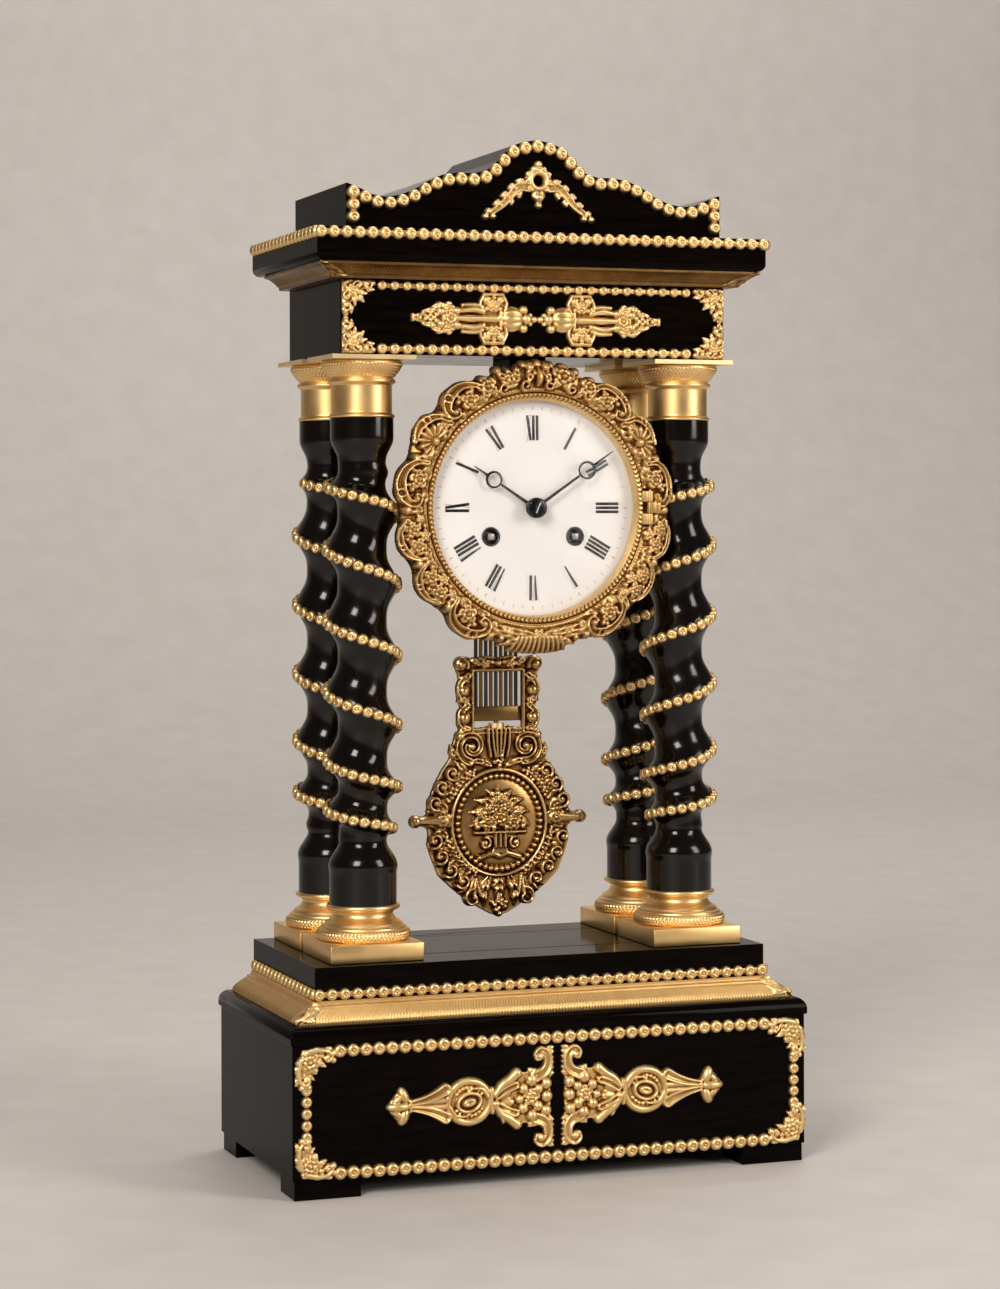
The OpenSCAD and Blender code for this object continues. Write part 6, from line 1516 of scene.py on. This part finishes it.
def cast_frame():
    """Open frame above the bob: scrolled sides round the window and a crest between two balls."""
    r = Relief((-25, -1), (25, 45), 0.28, 1.0)
    r.sheet(FRAME_SIDE, 0.3)
    r.sheet([(0, 34.8), (13, 34.8), (13, 41), (6, 42.4), (0, 41.4)], 0.3)
    r.sheet([(0, 2.4), (14, 2.4), (14, 6.2), (0, 6.2)], 0.3)
    r.stroke([(13, 5.8), (13, 35.4)], 1.5, 1.5, 1.8)
    r.stroke([(0, 35.6), (13, 35.6)], 1.5, 1.5, 1.8)
    r.stroke([(0, 5.4), (13, 5.4)], 1.4, 1.4, 1.6)
    upper = [(15.4, 33), (19.2, 29.4), (19.8, 25), (17.4, 21.4), (15.8, 18)]
    lower = [(15.8, 18.6), (19.2, 15.4), (19.6, 11.4), (17.4, 8.2), (15, 7.4)]
    for curl in (upper, lower):
        r.stroke(bowed(curl), 3.4, 2.2, 2.2, "hollow")
    tips = [((14.6, 30), (20.6, 32.4)), ((14.6, 21), (21.2, 20.6)), ((14.6, 9), (20.6, 4.2))]
    for start, tip in [*tips, ((9, 38), (15.4, 40.6))]:
        r.leaf(start, tip, 4.2, 2.4, 0.1, 3)
    r.stroke(spiral((19, 38.2), 3.6, 1.6, 200, -140), 2.4, 1.6, 2.6)
    r.rose((6.6, 38.8), 2.8, 2.6, 5, 0)
    many(r.dome, (17.6, 25.6, 3, 3), (17.4, 12.6, 3.2, 3.2), (19, 38.4, 2.9, 4))
    many(r.dome, (0, 39, 1.9, 2.6), (3, 39.4, 1.5, 2.2))
    r.mirror()
    pendulum_plate("cast_frame", "pendulum_frame", r, FRAME_Z)


ROD_COUNT, ROD_R, ROD_LOW, ROD_HIGH, ROD_SPAN = 9, 0.9, 205.0, 258.0, 20.4
LOW_BAR, LOW_BAR_HIGH, TOP_BAR, TOP_BAR_HIGH, HANGER_R = 14, 7, 12, 4, 1.2


def gridiron():
    """Steel and brass rods between two brass bars, hung on one rod."""
    low, high = (np.array(p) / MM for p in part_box("gridiron"))
    y = 0.5 * (low[1] + high[1])
    steel, brass = Shape(), Shape()
    for i in range(ROD_COUNT):
        x = (i / (ROD_COUNT - 1) - 0.5) * ROD_SPAN
        (brass if i % 2 else steel).add(placed(rod(ROD_R, ROD_HIGH - ROD_LOW), (x, y, ROD_LOW)))
    for half, z, rise in ((LOW_BAR, ROD_LOW, LOW_BAR_HIGH), (TOP_BAR, ROD_HIGH, TOP_BAR_HIGH)):
        brass.add(block((-half, low[1], z), (half, high[1], z + rise), 0.4))
    for start, end in ((low[2], ROD_LOW), (ROD_HIGH, high[2])):
        brass.add(placed(rod(HANGER_R, end - start), (0, y, start)))
    brass.build("gridiron_brass", "pendulum", ROD_BRASS, "gilt_brass", ["gridiron"])
    steel.build("gridiron_steel", "pendulum", ROD_STEEL, "steel")


WOODEN = {"base_box": 0.8, "base_feet": 0.5, "ledge": 0.5, "plinth_block": 0.7, "frieze_box": 0.5}
WOODEN.update({"cornice_board": 0.5, "pediment": 0.6, "saddle": 0.5})
SLOT_FINISHES = {
    "ebonised_wood": BOX_LACQUER,
    "gilt_brass": TURNED_GILT,
    "movement_brass": MOVEMENT_BRASS,
    "steel": STEEL,
    "blued_steel": BLUED,
    "enamel": ENAMEL,
    "glass": GLASS,
}


def plain_nodes():
    """Finishes for the CAD nodes that stay in view, with eased edges on the woodwork."""
    slots = {p["node"]: p["material_slot"] for p in frame["record"]["subparts"]}
    for name, node in NODES.items():
        node.data.materials.clear()
        node.data.materials.append(SLOT_FINISHES[slots[name]])
    for name, width in WOODEN.items():
        weld = NODES[name].modifiers.new("joined", "WELD")
        weld.merge_threshold = 0.00001
        edge = NODES[name].modifiers.new("eased_edges", "BEVEL")
        edge.width = width * MM
        edge.segments = 3
        edge.limit_method = "ANGLE"
        edge.angle_limit = math.radians(40)
        edge.harden_normals = True


def light(name, at, aim, size, power, colour):
    """A soft panel of light."""
    lamp = bpy.data.lights.new(name, "AREA")
    lamp.shape = "RECTANGLE"
    lamp.size, lamp.size_y = size
    lamp.energy = power
    lamp.color = colour
    made = linked(name, lamp)
    made.location = at
    made.rotation_mode = "QUATERNION"
    made.rotation_quaternion = (Vector(aim) - Vector(at)).to_track_quat("-Z", "Y")


SWEEP_Y, SWEEP_R = 1.6, 0.9


def studio():
    """Pale floor, soft panels of warm light and a quiet room."""
    bend = [polar(SWEEP_R, a, (SWEEP_Y, SWEEP_R)) for a in np.linspace(-90, 0, 16)[1:]]
    sweep = [(-3, 0), (SWEEP_Y, 0), *bend, (SWEEP_Y + SWEEP_R, 4)]
    points = [(x, y, z) for y, z in sweep for x in (-5.0, 5.0)]
    faces = [(2 * i, 2 * i + 1, 2 * i + 3, 2 * i + 2) for i in range(len(sweep) - 1)]
    mesh = bpy.data.meshes.new("floor")
    mesh.from_pydata(points, [], faces)
    mesh.shade_smooth()
    f = Finish("floor_paper")
    paper = f.ramp(f.noise(30, 3), (0.3, (0.53, 0.50, 0.47)), (0.7, (0.57, 0.54, 0.51)))
    f.put(Base_Color=paper, Roughness=0.6)
    mesh.materials.append(f.material)
    linked("floor", mesh)
    light("key_left", (-1.3, -1.5, 1.25), (0, 0, 0.25), (0.7, 1.0), 39, (1.0, 0.95, 0.89))
    light("key_right", (1.25, -1.35, 0.95), (0, 0, 0.25), (0.6, 1.2), 22, (1.0, 0.95, 0.9))
    light("top", (0.1, 0.1, 1.9), (0, 0, 0.3), (1.0, 1.0), 10, (1.0, 0.97, 0.94))
    light("backdrop", (1.0, 0.9, 2.2), (1.0, 2.4, 0.6), (1.2, 0.6), 26, (1.0, 0.97, 0.94))
    world = bpy.data.worlds.new("room")
    bpy.context.scene.world = world
    world.use_nodes = True
    shade = world.node_tree.nodes["Background"]
    shade.inputs["Color"].default_value = (0.30, 0.24, 0.20, 1)
    shade.inputs["Strength"].default_value = 0.35
    bpy.context.scene.view_settings.view_transform = "Standard"


# The fitted camera: its place in metres, its turns in degrees, and its lens in pixels of the photo.
CAMERA_AT = (-0.498624, -1.355809 + SHIFT * MM, 0.300443)
CAMERA_YAW, CAMERA_ROLL = 20.036, -0.153
FOCAL_PX, CENTRE_ROW, PHOTO_HIGH = 3040.418, 522.065, 1289
SENSOR = 36.0


def camera():
    """The photo's viewpoint, found from the clock's straight edges."""
    lens = bpy.data.cameras.new("camera")
    made = linked("camera", lens)
    yaw, roll = math.radians(CAMERA_YAW), math.radians(CAMERA_ROLL)
    ahead = Vector((math.sin(yaw), math.cos(yaw), 0))
    level, up = Vector((math.cos(yaw), -math.sin(yaw), 0)), Vector((0, 0, 1))
    right = level * math.cos(roll) + up * math.sin(roll)
    rise = up * math.cos(roll) - level * math.sin(roll)
    turn = Matrix((right, rise, -ahead)).transposed().to_4x4()
    made.matrix_world = Matrix.Translation(CAMERA_AT) @ turn
    lens.sensor_width = SENSOR
    lens.lens = SENSOR * FOCAL_PX / PHOTO_HIGH
    lens.shift_y = (CENTRE_ROW - PHOTO_HIGH / 2) / PHOTO_HIGH
    lens.clip_start, lens.clip_end = 0.05, 20
    bpy.context.scene.camera = made


plain_nodes()
bead_rows()
pediment_bead_row()
column_shafts()
column_ends()
mouldings()
dial_marks()
flat_mounts()
bezel()
glazed_door()
hand_collet()
cast_bob()
cast_frame()
gridiron()
studio()
camera()
